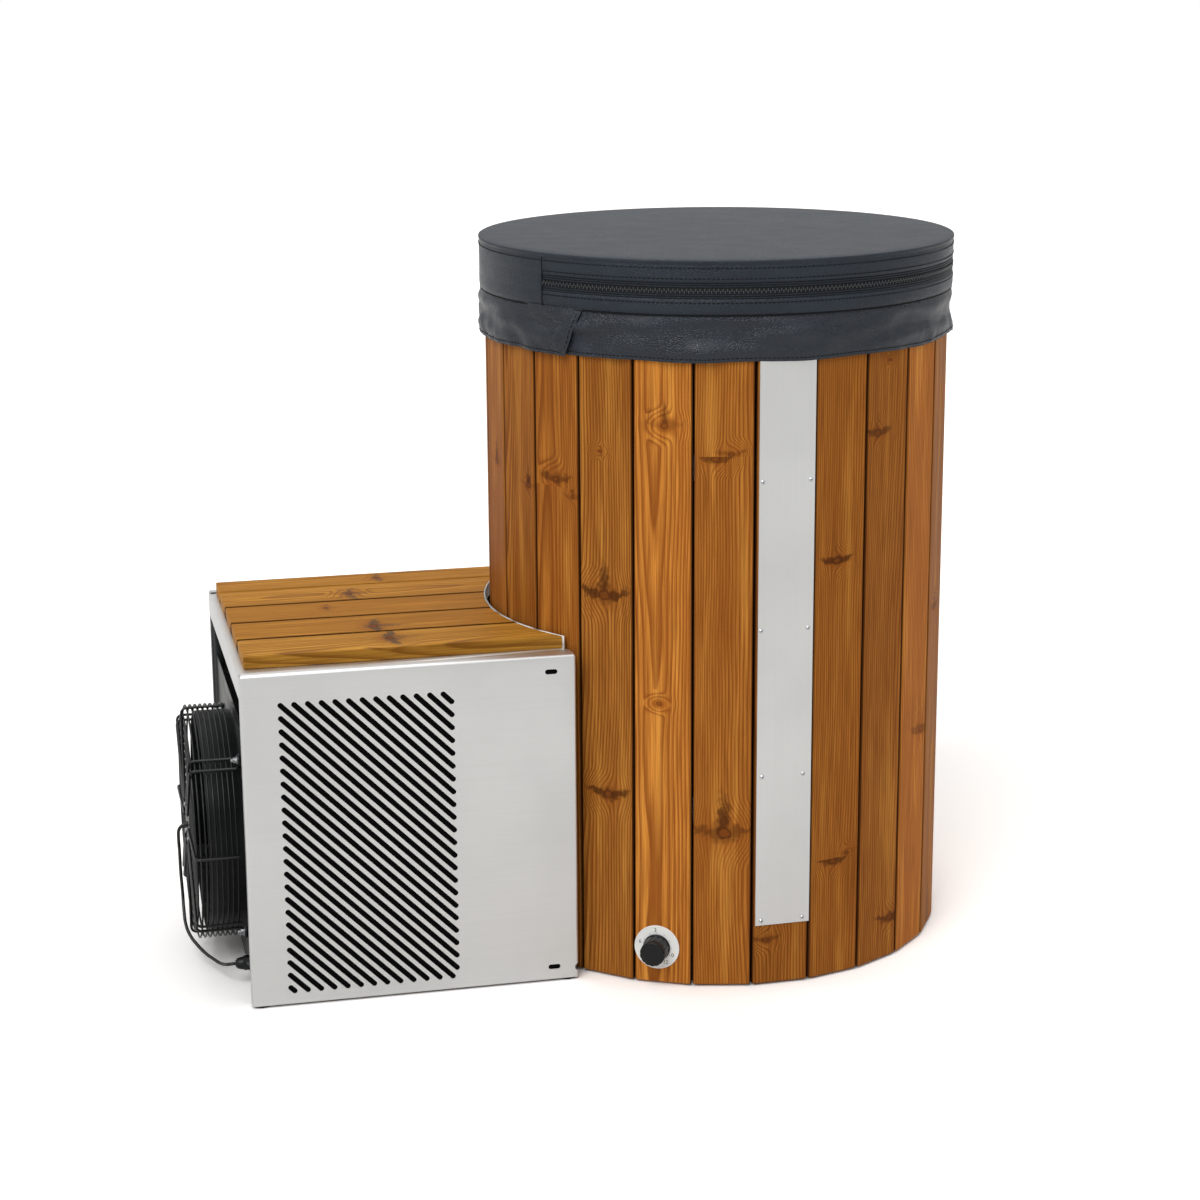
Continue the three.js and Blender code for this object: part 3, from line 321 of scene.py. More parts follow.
# Coated marine vinyl, embossed with a leather grain: slate grey, a broad soft sheen and faint mottling.
# The real grain of about 1 mm is drawn at 3.5 mm so that it shows.
def slate_vinyl(name, dark, light, gloss_level):
    material, shader, add = new_finish(name, Specular_IOR_Level=gloss_level)
    place = add("TexCoord", out="Object")
    cells = add("TexVoronoi", place, per_metre(3.5), feature="DISTANCE_TO_EDGE", out="Distance")
    pits = add("MapRange", cells, 0, 0.2, 0, 1)
    broad = add("TexNoise", place, per_metre(55), 4, out="Fac")
    wide = add("TexNoise", place, per_metre(190), 2, out="Fac")
    tone = add("Mix", broad, dark, light, **TINT)
    mottle = add("MapRange", wide, 0.3, 0.7, 0, 0.6)
    tone = add("Mix", mottle, tone, dark, **TINT)
    gloss = add("MapRange", broad, 0.3, 0.7, 0.26, 0.38)
    ripple = add("Bump", 0.35, 4 * MM, named={"Height": wide})
    bump = add("Bump", 0.6, 0.6 * MM, named={"Height": pits, "Normal": ripple})
    fill(shader, {"Base Color": tone, "Roughness": gloss, "Normal": bump})
    return material


# Ribbed surface: two tones and a relief that follow waves of one pitch, in millimetres, up the piece
def ribbed(name, dark, light, pitch, wander, relief, depth, **inputs):
    material, shader, add = new_finish(name, **inputs)
    place = add("TexCoord", out="Object")
    rows = add("TexWave", place, per_metre(pitch) / tau, wander, bands_direction="Z")
    tone = add("Mix", rows, dark, light, **TINT)
    bump = add("Bump", relief, depth, named={"Height": rows})
    fill(shader, {"Base Color": tone, "Normal": bump})
    return material


# Resin-faced birch plywood: dark brown film with long faint figure
def faced_plywood():
    material, shader, add = new_finish("resin_faced_plywood", Roughness=0.55)
    place = add("TexCoord", out="Object")
    grain = (per_metre(300), per_metre(12), per_metre(6))
    stretched = add("VectorMath MULTIPLY", place, grain)
    figure = add("TexNoise", stretched, 1, 3, out="Fac")
    tone = add("Mix", figure, "#35261b", "#54402d", **TINT)
    bump = add("Bump", 0.15, 0.4 * MM, named={"Height": figure})
    fill(shader, {"Base Color": tone, "Normal": bump})
    return material


pine = oiled_pine("oiled_heat_treated_pine", 46 * MM, ("#ca8638", "#b46f2a"), ("#6d3810", "#834717"),
                  "#46230b")
# The seat's boards are yellower, and their knots have weathered to grey
seat_pine = oiled_pine("weathered_heat_treated_pine", 49 * MM,
                       ("#dca040", "#c98a31"), ("#7f4c12", "#935e1b"), "#3f3b33")
panel_steel = satin_stainless("satin_stainless_sheet", (per_metre(260), per_metre(3), per_metre(3)))
plate_steel = satin_stainless("satin_stainless_plate", (per_metre(3), per_metre(3), per_metre(260)))
zinc = zinc_plate()
# Polyester powder coat on wire and sheet: near black, half gloss, slight orange peel
powder_black = moulded("black_powder_coat", "#07090a", "#0f1213", 2.5, 0.36, Specular_IOR_Level=0.35)
# Glass-filled nylon of the knob, impeller and other mouldings: black, dull moulded grain
nylon_black = moulded("black_glass_filled_nylon", "#08090a", "#111315", 1.8, 0.38, Specular_IOR_Level=0.3)
# Extruded nylon of the zip's teeth: charcoal, lighter than the tape, smooth
coil_nylon = moulded("charcoal_zip_nylon", "#26292c", "#3a3e42", 2, 0.32, 0.05)
# Soft PVC sheath of the lead: black, smooth and slightly glossy
lead_pvc = moulded("black_pvc_sheath", "#0c0d0e", "#16181a", 6, 0.35, 0.05)
# Reinforced rubber hose: dark grey, dull
hose_rubber = moulded("dark_rubber_hose", "#1d1f20", "#2a2c2d", 3, 0.7)
# Closed-cell foam of the exchanger's jacket and the air filter: black and dull
jacket_foam = moulded("black_foam_jacket", "#040404", "#080809", 5, 0.9, 0.3, Specular_IOR_Level=0.05)
# Cast acrylic liner: cool white and glossy
acrylic_white = moulded("white_acrylic", "#dfe2e1", "#eceeed", 40, 0.16, 0.02, IOR=1.49)
# Rigid polyurethane foam: dull, coloured brown as painted shade seen through the joints between the staves
joint_shade_foam = moulded("rigid_foam_painted_as_joint_shade", "#4a3a20", "#5c4a2b", 4, 0.9, 0.6)
# Bonded polyester thread: near black and dull. Its stitches are drawn a little thick so that they show. It
# also draws the dark ring of painted shade under the cover's edge.
thread_and_shade = moulded("charcoal_thread", "#08090a", "#101113", 1.2, 0.7, Specular_IOR_Level=0.2)
# Ink of the dial's marks, also the painted shade in the screws' cross recesses: black and flat
ink_and_recess_shade = moulded("black_ink_and_painted_shade", "#0c0d0e", "#17181a", 2, 0.6)
# Baked enamel of the dial plate: white, half gloss
dial_enamel = moulded("white_baked_enamel", "#e4e4e1", "#eeeeec", 6, 0.35, 0.05)
vinyl = slate_vinyl("slate_grey_vinyl", "#1f262e", "#2e3741", 0.24)
# The skirt is of a thinner, glossier grade of it
skirt_vinyl = slate_vinyl("glossy_slate_grey_vinyl", "#141b24", "#242d38", 0.42)
# Woven nylon tape of the zip: black, with a fine rib across it
tape = ribbed("black_nylon_tape", "#07090b", "#14171a", 3, 0.4, 0.3, 0.4 * MM, Roughness=0.6,
              Specular_IOR_Level=0.25)
plywood = faced_plywood()
# Rolled aluminium fins: pale grey, fine lines along the fins
fins = ribbed("rolled_aluminium_fins", "#6f7376", "#b3b7b9", 5, 0, 0.5, 1 * MM, Metallic=1.0, Roughness=0.4)


# Mesh tools
def shape_of(node, flat=True):
    """The solid's mesh with shared vertices and, where asked, its flat faces whole."""
    shape = bmesh.new()
    shape.from_mesh(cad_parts[node].data)
    bmesh.ops.remove_doubles(shape, verts=shape.verts, dist=0.005 * MM)
    if flat:
        bmesh.ops.dissolve_limit(shape, angle_limit=radians(0.5), verts=shape.verts, edges=shape.edges)
    return shape


def round_edges(shape, edges, width, segments=2):
    bmesh.ops.bevel(shape, geom=list(edges), offset=width, offset_type="OFFSET", affect="EDGES",
                    segments=segments, profile=0.5, material=-1, clamp_overlap=True)


def sharp_edges(shape, degrees=25):
    return [e for e in shape.edges if len(e.link_faces) == 2 and e.calc_face_angle(0) > radians(degrees)]


# Degrees under which edges are drawn smooth on a flat piece, so that its rounded rim doesn't tint its face
FLAT_BELOW = 10


def mesh_of(name, shape):
    """Turns the shape into a mesh and lets it go."""
    mesh = bpy.data.meshes.new(name)
    shape.to_mesh(mesh)
    shape.free()
    return mesh


def show(name, shape, finish, body, replaced=(), smooth_below=32):
    """Makes the shape a piece that rides on a body."""
    mesh = mesh_of(name, shape)
    mesh.shade_smooth()
    mesh.set_sharp_from_angle(angle=radians(smooth_below))
    mesh.materials.append(finish)
    piece = linked(name, mesh)
    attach(piece, body)
    if replaced:
        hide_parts(*replaced)
    return piece


def outwards(shape):
    bmesh.ops.remove_doubles(shape, verts=shape.verts, dist=0.002 * MM)
    bmesh.ops.recalc_face_normals(shape, faces=shape.faces)


def thicken(shape, gauge):
    """Gives a sheet round the tub its thickness, inwards from its outer face."""
    bmesh.ops.recalc_face_normals(shape, faces=shape.faces)
    if sum(f.normal.dot(f.calc_center_median()) for f in shape.faces) < 0:
        bmesh.ops.reverse_faces(shape, faces=shape.faces)
    shape.normal_update()
    bmesh.ops.solidify(shape, geom=shape.faces[:], thickness=gauge)


def spun(profile, start, run, steps):
    """A shape made by turning a profile of (radius, height) about the tub's axis."""
    shape = bmesh.new()
    verts = [shape.verts.new((radius, 0, height)) for radius, height in profile]
    edges = [shape.edges.new(pair) for pair in zip(verts, verts[1:])]
    bmesh.ops.rotate(shape, verts=verts, cent=(0, 0, 0), matrix=rotated(start, 3, "Z"))
    bmesh.ops.spin(shape, geom=verts + edges, cent=(0, 0, 0), axis=(0, 0, 1), angle=run, steps=steps,
                   use_merge=run == tau)
    return shape


def add_tube(shape, points, diameter, sides=8):
    """Adds a round wire along the points, closed at its ends."""
    points = [Vector(p) for p in points]
    rings = []
    for i, point in enumerate(points):
        back = points[max(i - 1, 0)]
        ahead = points[min(i + 1, len(points) - 1)]
        turn = (ahead - back).to_track_quat("Z", "Y").to_matrix().to_4x4()
        end = i in (0, len(points) - 1)
        made = bmesh.ops.create_circle(shape, cap_ends=end, segments=sides, radius=diameter / 2,
                                       matrix=moved(point) @ turn)
        rings.append(list({e for v in made["verts"] for e in v.link_edges}))
    for first, second in zip(rings, rings[1:]):
        bmesh.ops.bridge_loops(shape, edges=first + second)


def add_ring(shape, place, radius, diameter):
    """Adds a round wire ring about an axis along X, through a place on that axis."""
    around = moved(place + Vector((0, 0, radius))) @ rotated(radians(90), 4, "X")
    made = bmesh.ops.create_circle(shape, segments=8, radius=diameter / 2, matrix=around)
    edges = list({e for v in made["verts"] for e in v.link_edges})
    bmesh.ops.spin(shape, geom=made["verts"] + edges, cent=place, axis=(1, 0, 0), angle=tau,
                   steps=72, use_merge=True)


def add_block(shape, matrix, size):
    """Adds a box of this size about a place."""
    bmesh.ops.create_cube(shape, size=1, matrix=matrix @ Matrix.Diagonal((*size, 1)))


def add_row(shape, size, radius, heights, start, run, count):
    """Adds boxes round the tub's axis, at each of the heights in turn."""
    for i in range(count):
        arm = rotated(start + (i + 0.5) / count * run, 4, "Z")
        add_block(shape, arm @ moved((radius, 0, heights[i % len(heights)])), size)


def add_bead(shape, radius, height, start, run, steps, diameter):
    """Adds a round wire about the tub's axis."""
    arms = [rotated(start + run * i / steps, 4, "Z") for i in range(steps + 1)]
    add_tube(shape, [arm @ Vector((radius, 0, height)) for arm in arms], diameter, 6)


def add_disc(shape, matrix, radius, height, segments, top_radius=None):
    """Adds a closed cylinder or cone that stands on a place along its own Z."""
    tip = radius if top_radius is None else top_radius
    made = bmesh.ops.create_cone(shape, cap_ends=True, segments=segments, radius1=radius, radius2=tip,
                                 depth=height, matrix=matrix @ moved((0, 0, height / 2)))
    return made["verts"]


def stave_place(number, across=0, height=0, out=0):
    """Matrix at a point of a stave's face: Z out of the tub, X along the face, Y up."""
    turn = TUB_TURN + (number - 1) * STAVE_STEP
    face = rotated(turn, 4, "Z") @ moved((TUB_FLAT + out, across, height))
    return face @ Matrix(((0, 0, 1, 0), (1, 0, 0, 0), (0, 1, 0, 0), (0, 0, 0, 1)))


# Fan's lead, made first: out of the hub plate, down beside the lower rod and back into the gland
LEAD_DIAMETER = 5.5 * MM
LEAD_ROUTE = [
    (-893.8, 0, 218), (-896.5, 0, 218), (-901.5, 0, 216.8), (-906, 0.5, 213), (-908.6, 1, 207.5),
    (-909.2, 2, 198), (-908.5, 6, 170), (-908, 6, 130), (-907, 0, 100), (-907, -14, 74), (-906, -32, 56),
    (-901, -52, 44), (-892, -72, 35), (-881, -94, 28), (-869, -116, 24.5), (-860, -138, 25),
    (-854, -156, 29.5), (-848.5, -168, 34), (-843.5, -172, 36), (-838.7, -172, 36),
]
line = bpy.data.curves.new("fan_lead_cord", "CURVE")
line.dimensions = "3D"
line.bevel_depth = LEAD_DIAMETER / 2
line.bevel_resolution = 3
line.use_fill_caps = True
spline = line.splines.new("BEZIER")
spline.bezier_points.add(len(LEAD_ROUTE) - 1)
for point, place in zip(spline.bezier_points, LEAD_ROUTE):
    point.co = Vector(place) * MM
    point.handle_left_type = point.handle_right_type = "AUTO"
spline.resolution_u = 8
line.materials.append(lead_pvc)
lead = linked("fan_lead_cord", line)
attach(lead, TUB)
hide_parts("fan_lead")


# Boards: each knot is (across, along, half width of its eye) in millimetres, then its wings and flame
STAVE_KNOTS = {
    1: [(-25, 77, 6.5, 0.6, 0.3)],
    2: [(-6, 688, 7.8, 1, 0.2), (-5, 195, 7.8, 0.9, 0), (22, 205, 5.2, 0.2, 0)],
    3: [(-23, 881, 7.8, 0.8, 0.3), (2, 992, 3.9, 0, 0.2), (30, 69, 9.1, 0.9, 0.2)],
    4: [(30, 368, 10.4, 0.6, 0.3)],
    5: [(0, 560, 7.8, 0.5, 0.5)],
    20: [(5, 808, 7.8, 0.2, 0.9)],
    21: [(27, 788, 6.5, 0.3, 1)],
    22: [(-1, 808, 9.1, 0.8, 0.2), (34, 784, 5.2, 0.4, 0.6)],
    23: [(-9, 862, 3.9, 0, 0), (-3, 635, 11.7, 1, 0.9), (2, 310, 10.4, 1, 0)],
    24: [(4, 908, 7.8, 0.35, 0.8), (-5, 468, 5.2, 0, 0.2)],
    25: [(-12, 858, 7.8, 0.8, 0), (12, 866, 6.5, 0.5, 0), (3, 259, 14.3, 0.7, 1)],
}
SLAT_KNOTS = {
    1: [(8, -575, 11.8, 0.9, 0.4)],
    2: [(-20, -590, 11.8, 0.9, 0.6)],
    3: [(10, -650, 6.8, 0.3, 0.2)],
    4: [(-12, -600, 10.1, 0.8, 0.4)],
    5: [(0, -540, 8.5, 0.6, 0.2)],
}
# How light a stave is beside the others, which are 1
STAVE_TONES = {1: 0.84, 2: 0.9, 3: 0.9, 4: 1.4, 21: 0.88, 23: 0.88, 24: 1.3}
STAVE_EASING = 1.6 * MM
SLAT_EASING = 3 * MM
SLAT_TRIM = 2 * MM
# How far out a board's free edge counts, which keeps the painted shade of the joints off it
FREE_EDGE = 48 * MM


def hidden_knots(number):
    """Knots of a board that the photograph doesn't show."""
    spread = [(number * 37 % 61) - 30, (number * 53 % 67) - 33]
    heights = [180 + number * 97 % 330, 620 + number * 71 % 340]
    kind = (4 + number * 5 % 5, number * 3 % 7 / 7, number * 5 % 9 / 9)
    return [(*place, *kind) for place in zip(spread, heights)]


def board(name, node, finish, number, along, across, face, knots, easing, tone=1, trim=0, free_side=0):
    """A planed board with eased edges and its maps. free_side is -1 or 1 where it has no neighbour."""
    shape = shape_of(node)
    low, high = corners(node)
    centre = across * ((low + high) / 2).dot(across)
    narrow = 2 * trim / (high - low).dot(across)
    for vert in shape.verts:
        vert.co -= across * (vert.co - centre).dot(across) * narrow
    round_edges(shape, sharp_edges(shape), easing, 2)
    surface = max(v.co.dot(face) for v in shape.verts)
    knots = sorted(knots, key=lambda knot: knot[1])
    for first, second in zip(knots, knots[1:]):
        cut = along * (first[1] + second[1]) / 2 * MM
        bmesh.ops.bisect_plane(shape, geom=shape.verts[:] + shape.edges[:] + shape.faces[:],
                               plane_co=cut, plane_no=along)
    board_map, knot_map, kind_map, joint_map = [
        shape.loops.layers.uv.new(layer) for layer in ("board", "knot", "knot_kind", "joint")
    ]
    for side in shape.faces:
        height = side.calc_center_median().dot(along) / MM
        knot_across, knot_along, eye, wings, flame = min(knots, key=lambda knot: abs(knot[1] - height))
        for loop in side.loops:
            place = loop.vert.co
            x = (place - centre).dot(across)
            x += copysign(surface - place.dot(face), x)
            y = place.dot(along)
            loop[board_map].uv = (x + number, y)
            loop[knot_map].uv = ((x / MM - knot_across) / eye, (y / MM - knot_along) / eye)
            loop[kind_map].uv = (wings, flame)
            # Distance for the painted joint shade, held short of a free edge
            reach = min(max(x, -FREE_EDGE), FREE_EDGE) if x * free_side > 0 else x
            loop[joint_map].uv = (reach, tone)
    show(name, shape, finish, TUB, [node], FLAT_BELOW)


for number in range(1, STAVE_COUNT + 1):
    sideways, up, out = [stave_place(number).col[i].to_3d() for i in range(3)]
    board(f"stave_board_{number:02d}", f"stave_{number:02d}", pine, number, up, sideways, out,
          STAVE_KNOTS.get(number) or hidden_knots(number), STAVE_EASING, STAVE_TONES.get(number, 1))

free_sides = {1: -1, len(SLAT_KNOTS): 1}
for number, knots in SLAT_KNOTS.items():
    board(f"slat_board_{number}", f"seat_slat_{number}", seat_pine, STAVE_COUNT + number, Vector((1, 0, 0)),
          Vector((0, 1, 0)), Vector((0, 0, 1)), knots, SLAT_EASING,
          trim=SLAT_TRIM, free_side=free_sides.get(number, 0))


# Front plate with its screws: pan heads with a cross, its recess drawn as a flat black mark of painted shade
PLATE_THICKNESS = 2 * MM
SEAT = 0.3 * MM
PLATE_SCREWS = [
    (-36.5, 822), (40.4, 822), (-37.4, 588), (38.9, 588), (-33.5, 351), (34, 351), (-32.8, 111), (35.7, 111),
]
PLATE_EASING = 0.5 * MM
SCREW_RADIUS = 3.6 * MM
SCREW_HEIGHT = 1.9 * MM
SCREW_SIDE = 0.4
SCREW_TOP = 0.55
SCREW_TURN = 0.4
CROSS_SIZE = (2.6 * MM, 0.7 * MM, 0.1 * MM)

shape = shape_of("front_plate")
round_edges(shape, sharp_edges(shape), PLATE_EASING)
show("front_plate_sheet", shape, plate_steel, TUB, ["front_plate"], FLAT_BELOW)

shape = bmesh.new()
marks = bmesh.new()
for across, height in PLATE_SCREWS:
    place = stave_place(1, across * MM, height * MM, SEAT + PLATE_THICKNESS)
    side = SCREW_HEIGHT * SCREW_SIDE
    add_disc(shape, place, SCREW_RADIUS, side, 20)
    add_disc(shape, place @ moved((0, 0, side)), SCREW_RADIUS, SCREW_HEIGHT - side, 20,
             SCREW_RADIUS * SCREW_TOP)
    for turn in (SCREW_TURN, SCREW_TURN + pi / 2):
        top = place @ moved((0, 0, SCREW_HEIGHT))
        # Painted shade: a thin black cross on the head stands for the shaded recess
        add_block(marks, top @ rotated(turn, 4, "Z"), CROSS_SIZE)
outwards(shape)
show("plate_screws", shape, zinc, TUB)
show("plate_screw_cross_shade", marks, ink_and_recess_shade, TUB)


# Temperature dial: plate with a turned rim, its marks, and the fluted knob
DIAL_ACROSS = -9.3 * MM
DIAL_HEIGHT = 63.3 * MM
DIAL_RADIUS = 36.5 * MM
DIAL_THICKNESS = 2 * MM
DIAL_RIM = 2.2 * MM
DIAL_SLOPE = 0.6 * MM
DIAL_SINK = 0.5 * MM
DIAL_EASING = 0.3 * MM
# Numbers by the angle they stand at, in degrees
DIAL_NUMBERS = {"3": 95, "6": 165, "0": -25, "12": -60}
NUMBER_SIZE = 9 * MM
NUMBER_RADIUS = 28.5 * MM
INK_HEIGHT = 0.05 * MM
TICK_ANGLES = range(150, -90, -30)
TICK_RADIUS = 24 * MM
TICK_SIZE = (2 * MM, 0.6 * MM, 0.1 * MM)

dial_place = stave_place(DIAL_STAVE, DIAL_ACROSS, DIAL_HEIGHT, SEAT)
shape = bmesh.new()
add_disc(shape, dial_place, DIAL_RADIUS, DIAL_THICKNESS, 72)
shape.normal_update()
dial_out = dial_place.col[2].to_3d()
front = max(shape.faces, key=lambda f: (len(f.verts), f.calc_center_median().dot(dial_out)))
bmesh.ops.inset_individual(shape, faces=[front], thickness=DIAL_RIM, depth=0)
bmesh.ops.inset_individual(shape, faces=[front], thickness=DIAL_SLOPE, depth=-DIAL_SINK)
round_edges(shape, sharp_edges(shape, 60), DIAL_EASING)
show("dial_disc", shape, dial_enamel, TUB, ["dial_plate"])

shape = bmesh.new()
face = dial_place @ moved((0, 0, DIAL_THICKNESS - DIAL_SINK))
for number, degrees in DIAL_NUMBERS.items():
    words = bpy.data.curves.new("numeral", "FONT")
    words.body = number
    words.size = NUMBER_SIZE
    words.align_x = "CENTER"
    words.align_y = "CENTER"
    words.extrude = INK_HEIGHT
    drawn = bpy.data.objects.new("numeral", words)
    spot = rotated(radians(degrees), 4, "Z") @ Vector((NUMBER_RADIUS, 0, 0))
    mesh = drawn.to_mesh().copy()
    mesh.transform(face @ moved(spot))
    shape.from_mesh(mesh)
    bpy.data.meshes.remove(mesh)
    bpy.data.objects.remove(drawn)
for degrees in TICK_ANGLES:
    turn = rotated(radians(degrees), 4, "Z")
    add_block(shape, face @ turn @ moved((TICK_RADIUS, 0, 0)), TICK_SIZE)
show("dial_marks", shape, ink_and_recess_shade, TUB)

KNOB_RADIUS = 21 * MM
KNOB_DEPTH = 33 * MM
KNOB_TAPER = 0.96
KNOB_COLLAR_DEPTH = 4 * MM
KNOB_COLLAR_RADII = (22.5 * MM, 21.8 * MM)
KNOB_FLUTES = 14
KNOB_POINTS = 6
FLUTE_DEPTH = 0.05
KNOB_EASING = 1.6 * MM

shape = bmesh.new()
knob_place = stave_place(DIAL_STAVE, DIAL_ACROSS, DIAL_HEIGHT, SEAT + DIAL_THICKNESS + SEAT)
add_disc(shape, knob_place, KNOB_COLLAR_RADII[0], KNOB_COLLAR_DEPTH, 48, KNOB_COLLAR_RADII[1])
grip = add_disc(shape, moved((0, 0, KNOB_COLLAR_DEPTH)), KNOB_RADIUS,
                KNOB_DEPTH - KNOB_COLLAR_DEPTH, KNOB_FLUTES * KNOB_POINTS, KNOB_RADIUS * KNOB_TAPER)
for vert in grip:
    angle = atan2(vert.co.y, vert.co.x)
    dip = 1 - FLUTE_DEPTH * max(0, cos(angle * KNOB_FLUTES)) ** 3
    vert.co.x *= dip
    vert.co.y *= dip
bmesh.ops.transform(shape, matrix=knob_place, verts=grip)
shape.normal_update()
rims = {e for f in shape.faces if len(f.verts) > 30 for e in f.edges}
round_edges(shape, rims, KNOB_EASING, 3)
outwards(shape)
show("knob_grip", shape, nylon_black, "dial", ["dial_knob"], 40)


# Padded cover: foam in a vinyl case with a welted top edge and a channel for the zip
COVER_STEPS = 180
ZIP_LOW = 1101 * MM
ZIP_HIGH = 1128 * MM
ZIP_RUN = ZIP_END - ZIP_START
CHANNEL_DEPTH = 2.2 * MM
CHANNEL_EDGE = 1 * MM
FLANK_RADIUS = 378 * MM
WELT_HEIGHT = 1158 * MM
FLANK_WAVE = 0.7 * MM
TOP_HEIGHT = 1161.5 * MM
TOP_WAVE = 0.9 * MM
# Half section of the cover, as (radius, height) in millimetres
COVER_PROFILE = [
    (0, 1077.2), (372, 1077.2), (382, 1077.4), (384.4, 1079.5), (385.2, 1086), (385.2, 1098.5), (384.9, 1101),
    (385, 1102.6), (385, 1114.5), (385, 1126.4), (384.9, 1128), (385.2, 1130.5), (385.4, 1144), (385, 1152.5),
    (384.6, 1154.5), (385.8, 1156), (386.2, 1158), (385.4, 1160), (383.6, 1160.9), (382, 1160.4),
    (379, 1161.6), (372, 1162.3), (345, 1162.8), (300, 1163.1), (240, 1163.3), (160, 1163.5), (80, 1163.7),
    (0, 1163.8),
]


def ripples(*place):
    """Smooth noise about 0."""
    return noise.noise(Vector(place))


def in_zip(angle):
    """How far a place round the cover is inside the zip's run, from 0 to 1 over a short ramp."""
    ramp = radians(0.6)
    turned = (angle - ZIP_START) % tau
    return max(0, min(1, turned / ramp, (ZIP_RUN - turned) / ramp))


shape = spun([(radius * MM, height * MM) for radius, height in COVER_PROFILE], 0, tau, COVER_STEPS)
outwards(shape)
for vert in shape.verts:
    place = vert.co.copy()
    radius = hypot(place.x, place.y)
    angle = atan2(place.y, place.x)
    if ZIP_LOW + CHANNEL_EDGE < place.z < ZIP_HIGH - CHANNEL_EDGE:
        radius -= CHANNEL_DEPTH * in_zip(angle)
    if radius > FLANK_RADIUS and place.z < WELT_HEIGHT:
        radius += FLANK_WAVE * ripples(place.x * 9, place.y * 9, place.z * 14)
    if place.z > TOP_HEIGHT:
        wave = TOP_WAVE * ripples(place.x * 11, place.y * 11, 3)
        vert.co.z += wave * min(1, (FLANK_RADIUS - radius) * 30)
    vert.co.x = radius * cos(angle)
    vert.co.y = radius * sin(angle)
cover = show("padded_cover", shape, vinyl, "cover", ["cover_panel"], 60)


# Skirt: a strip of the same vinyl, hung from the cover's lower edge, its end lapped over its start
SKIRT_TOP = 1080 * MM
SKIRT_BOTTOM = 1007 * MM
SKIRT_ROWS = 16
SKIRT_STEPS = 300
SKIRT_START = radians(-154)
SKIRT_RUN = radians(377)
SKIRT_LAP = radians(17)
SKIRT_SLANT = radians(4.6)
SKIRT_GAUGE = 1.4 * MM
SKIRT_ROOM = 0.8 * MM
SKIRT_INSET = 0.8 * MM
SKIRT_FLARE = 1.2 * MM
TOP_TUCK = 2.6 * MM
LAP_LIFT = 3.4 * MM
LAP_FLARE = 4 * MM
LAP_RISE = radians(9)
LAP_LEAD = radians(6)
LAP_SINK = 1.6 * MM
CREASES = 9 * MM
BULGES = 11 * MM
HEM_TUCK = 2 * MM
HEM_WAVE = 2.5 * MM


def ease(value):
    value = max(0.0, min(1.0, value))
    return value * value * (3 - 2 * value)


def skirt_place(turn, drop, lift=0):
    """Place on the skirt's outer face: turn along the strip, drop from 0 at its top to 1 at its hem."""
    lap = ease((turn - (SKIRT_RUN - SKIRT_LAP - LAP_LEAD)) / LAP_RISE)
    end = ease((turn - (SKIRT_RUN - LAP_RISE)) / LAP_RISE)
    angle = SKIRT_START + turn - end * drop * SKIRT_SLANT
    slack = 0.6 + 0.4 * ripples(turn * 1.3, 0, 8.2)
    crease = ripples(turn * 5 + drop * 0.7, drop * 1.1, 1.7)
    crease += 0.7 * ripples(turn * 13 - drop * 1.4, drop * 1.9, 5.1)
    crease += 0.3 * ripples(turn * 30 + drop * 2.5, drop * 4, 9.4)
    bulge = ripples(turn * 3.6 + drop * 0.6, drop * 2.6, 3.3)
    bulge *= sin(pi * min(1, drop * 1.15)) * ease(drop / 0.3)
    radius = COVER_RADIUS - SKIRT_INSET + SKIRT_FLARE * drop + CREASES * crease * slack * drop ** 0.8
    radius += BULGES * bulge - HEM_TUCK * ease((drop - 0.8) / 0.2)
    radius += LAP_LIFT * lap * (1 - end * 0.4) + LAP_FLARE * end * drop
    radius -= LAP_SINK * ease(1 - turn / SKIRT_LAP) + TOP_TUCK * ease(1 - drop / 0.2)
    radius = max(radius, TUB_CORNER + SKIRT_GAUGE + SKIRT_ROOM) + lift
    height = SKIRT_TOP + (SKIRT_BOTTOM - SKIRT_TOP) * drop
    height += HEM_WAVE * drop * ripples(turn * 3, 0, 4.4)
    return Vector((radius * cos(angle), radius * sin(angle), height))


# Spun through half its turn, so that its lap doesn't close on its start, and then laid in place
shape = spun([(1, i / SKIRT_ROWS) for i in range(SKIRT_ROWS + 1)], 0, SKIRT_RUN / 2, SKIRT_STEPS)
for vert in shape.verts:
    turn = 2 * (atan2(vert.co.y, vert.co.x) % tau)
    vert.co = skirt_place(turn if turn < SKIRT_RUN + 0.01 else 0, vert.co.z)
thicken(shape, SKIRT_GAUGE)
skirt = show("hanging_skirt", shape, skirt_vinyl, "cover", ["cover_skirt"], 60)


# Zip: tape, two rows of teeth, the folds of vinyl beside them, and the slider
TAPE_RADIUS = COVER_RADIUS - CHANNEL_DEPTH + 0.5 * MM
TAPE_INSET = 1.5 * MM
TAPE_GAUGE = 0.8 * MM
TAPE_STEPS = 140
TOOTH_PITCH = 3.4 * MM
TOOTH_SIZE = (2.0 * MM, 1.9 * MM, 4.6 * MM)
TOOTH_RADIUS = TAPE_RADIUS + 1.0 * MM
TOOTH_STAGGER = 1.3 * MM
ZIP_MIDDLE = (ZIP_LOW + ZIP_HIGH) / 2
ZIP_FOLDS = (-10 * MM, -6.5 * MM, 6.5 * MM, 10 * MM)
ZIP_FOLD_RADIUS = TAPE_RADIUS + 0.4 * MM
ZIP_FOLD_DIAMETER = 1.8 * MM
ZIP_FOLD_STEPS = 120
SLIDER_EASING = 0.8 * MM

tape_edges = [(TAPE_RADIUS, ZIP_LOW + TAPE_INSET), (TAPE_RADIUS, ZIP_HIGH - TAPE_INSET)]
shape = spun(tape_edges, ZIP_START, ZIP_RUN, TAPE_STEPS)
thicken(shape, TAPE_GAUGE)
show("zip_tape", shape, tape, "cover", ["zip_strip"])

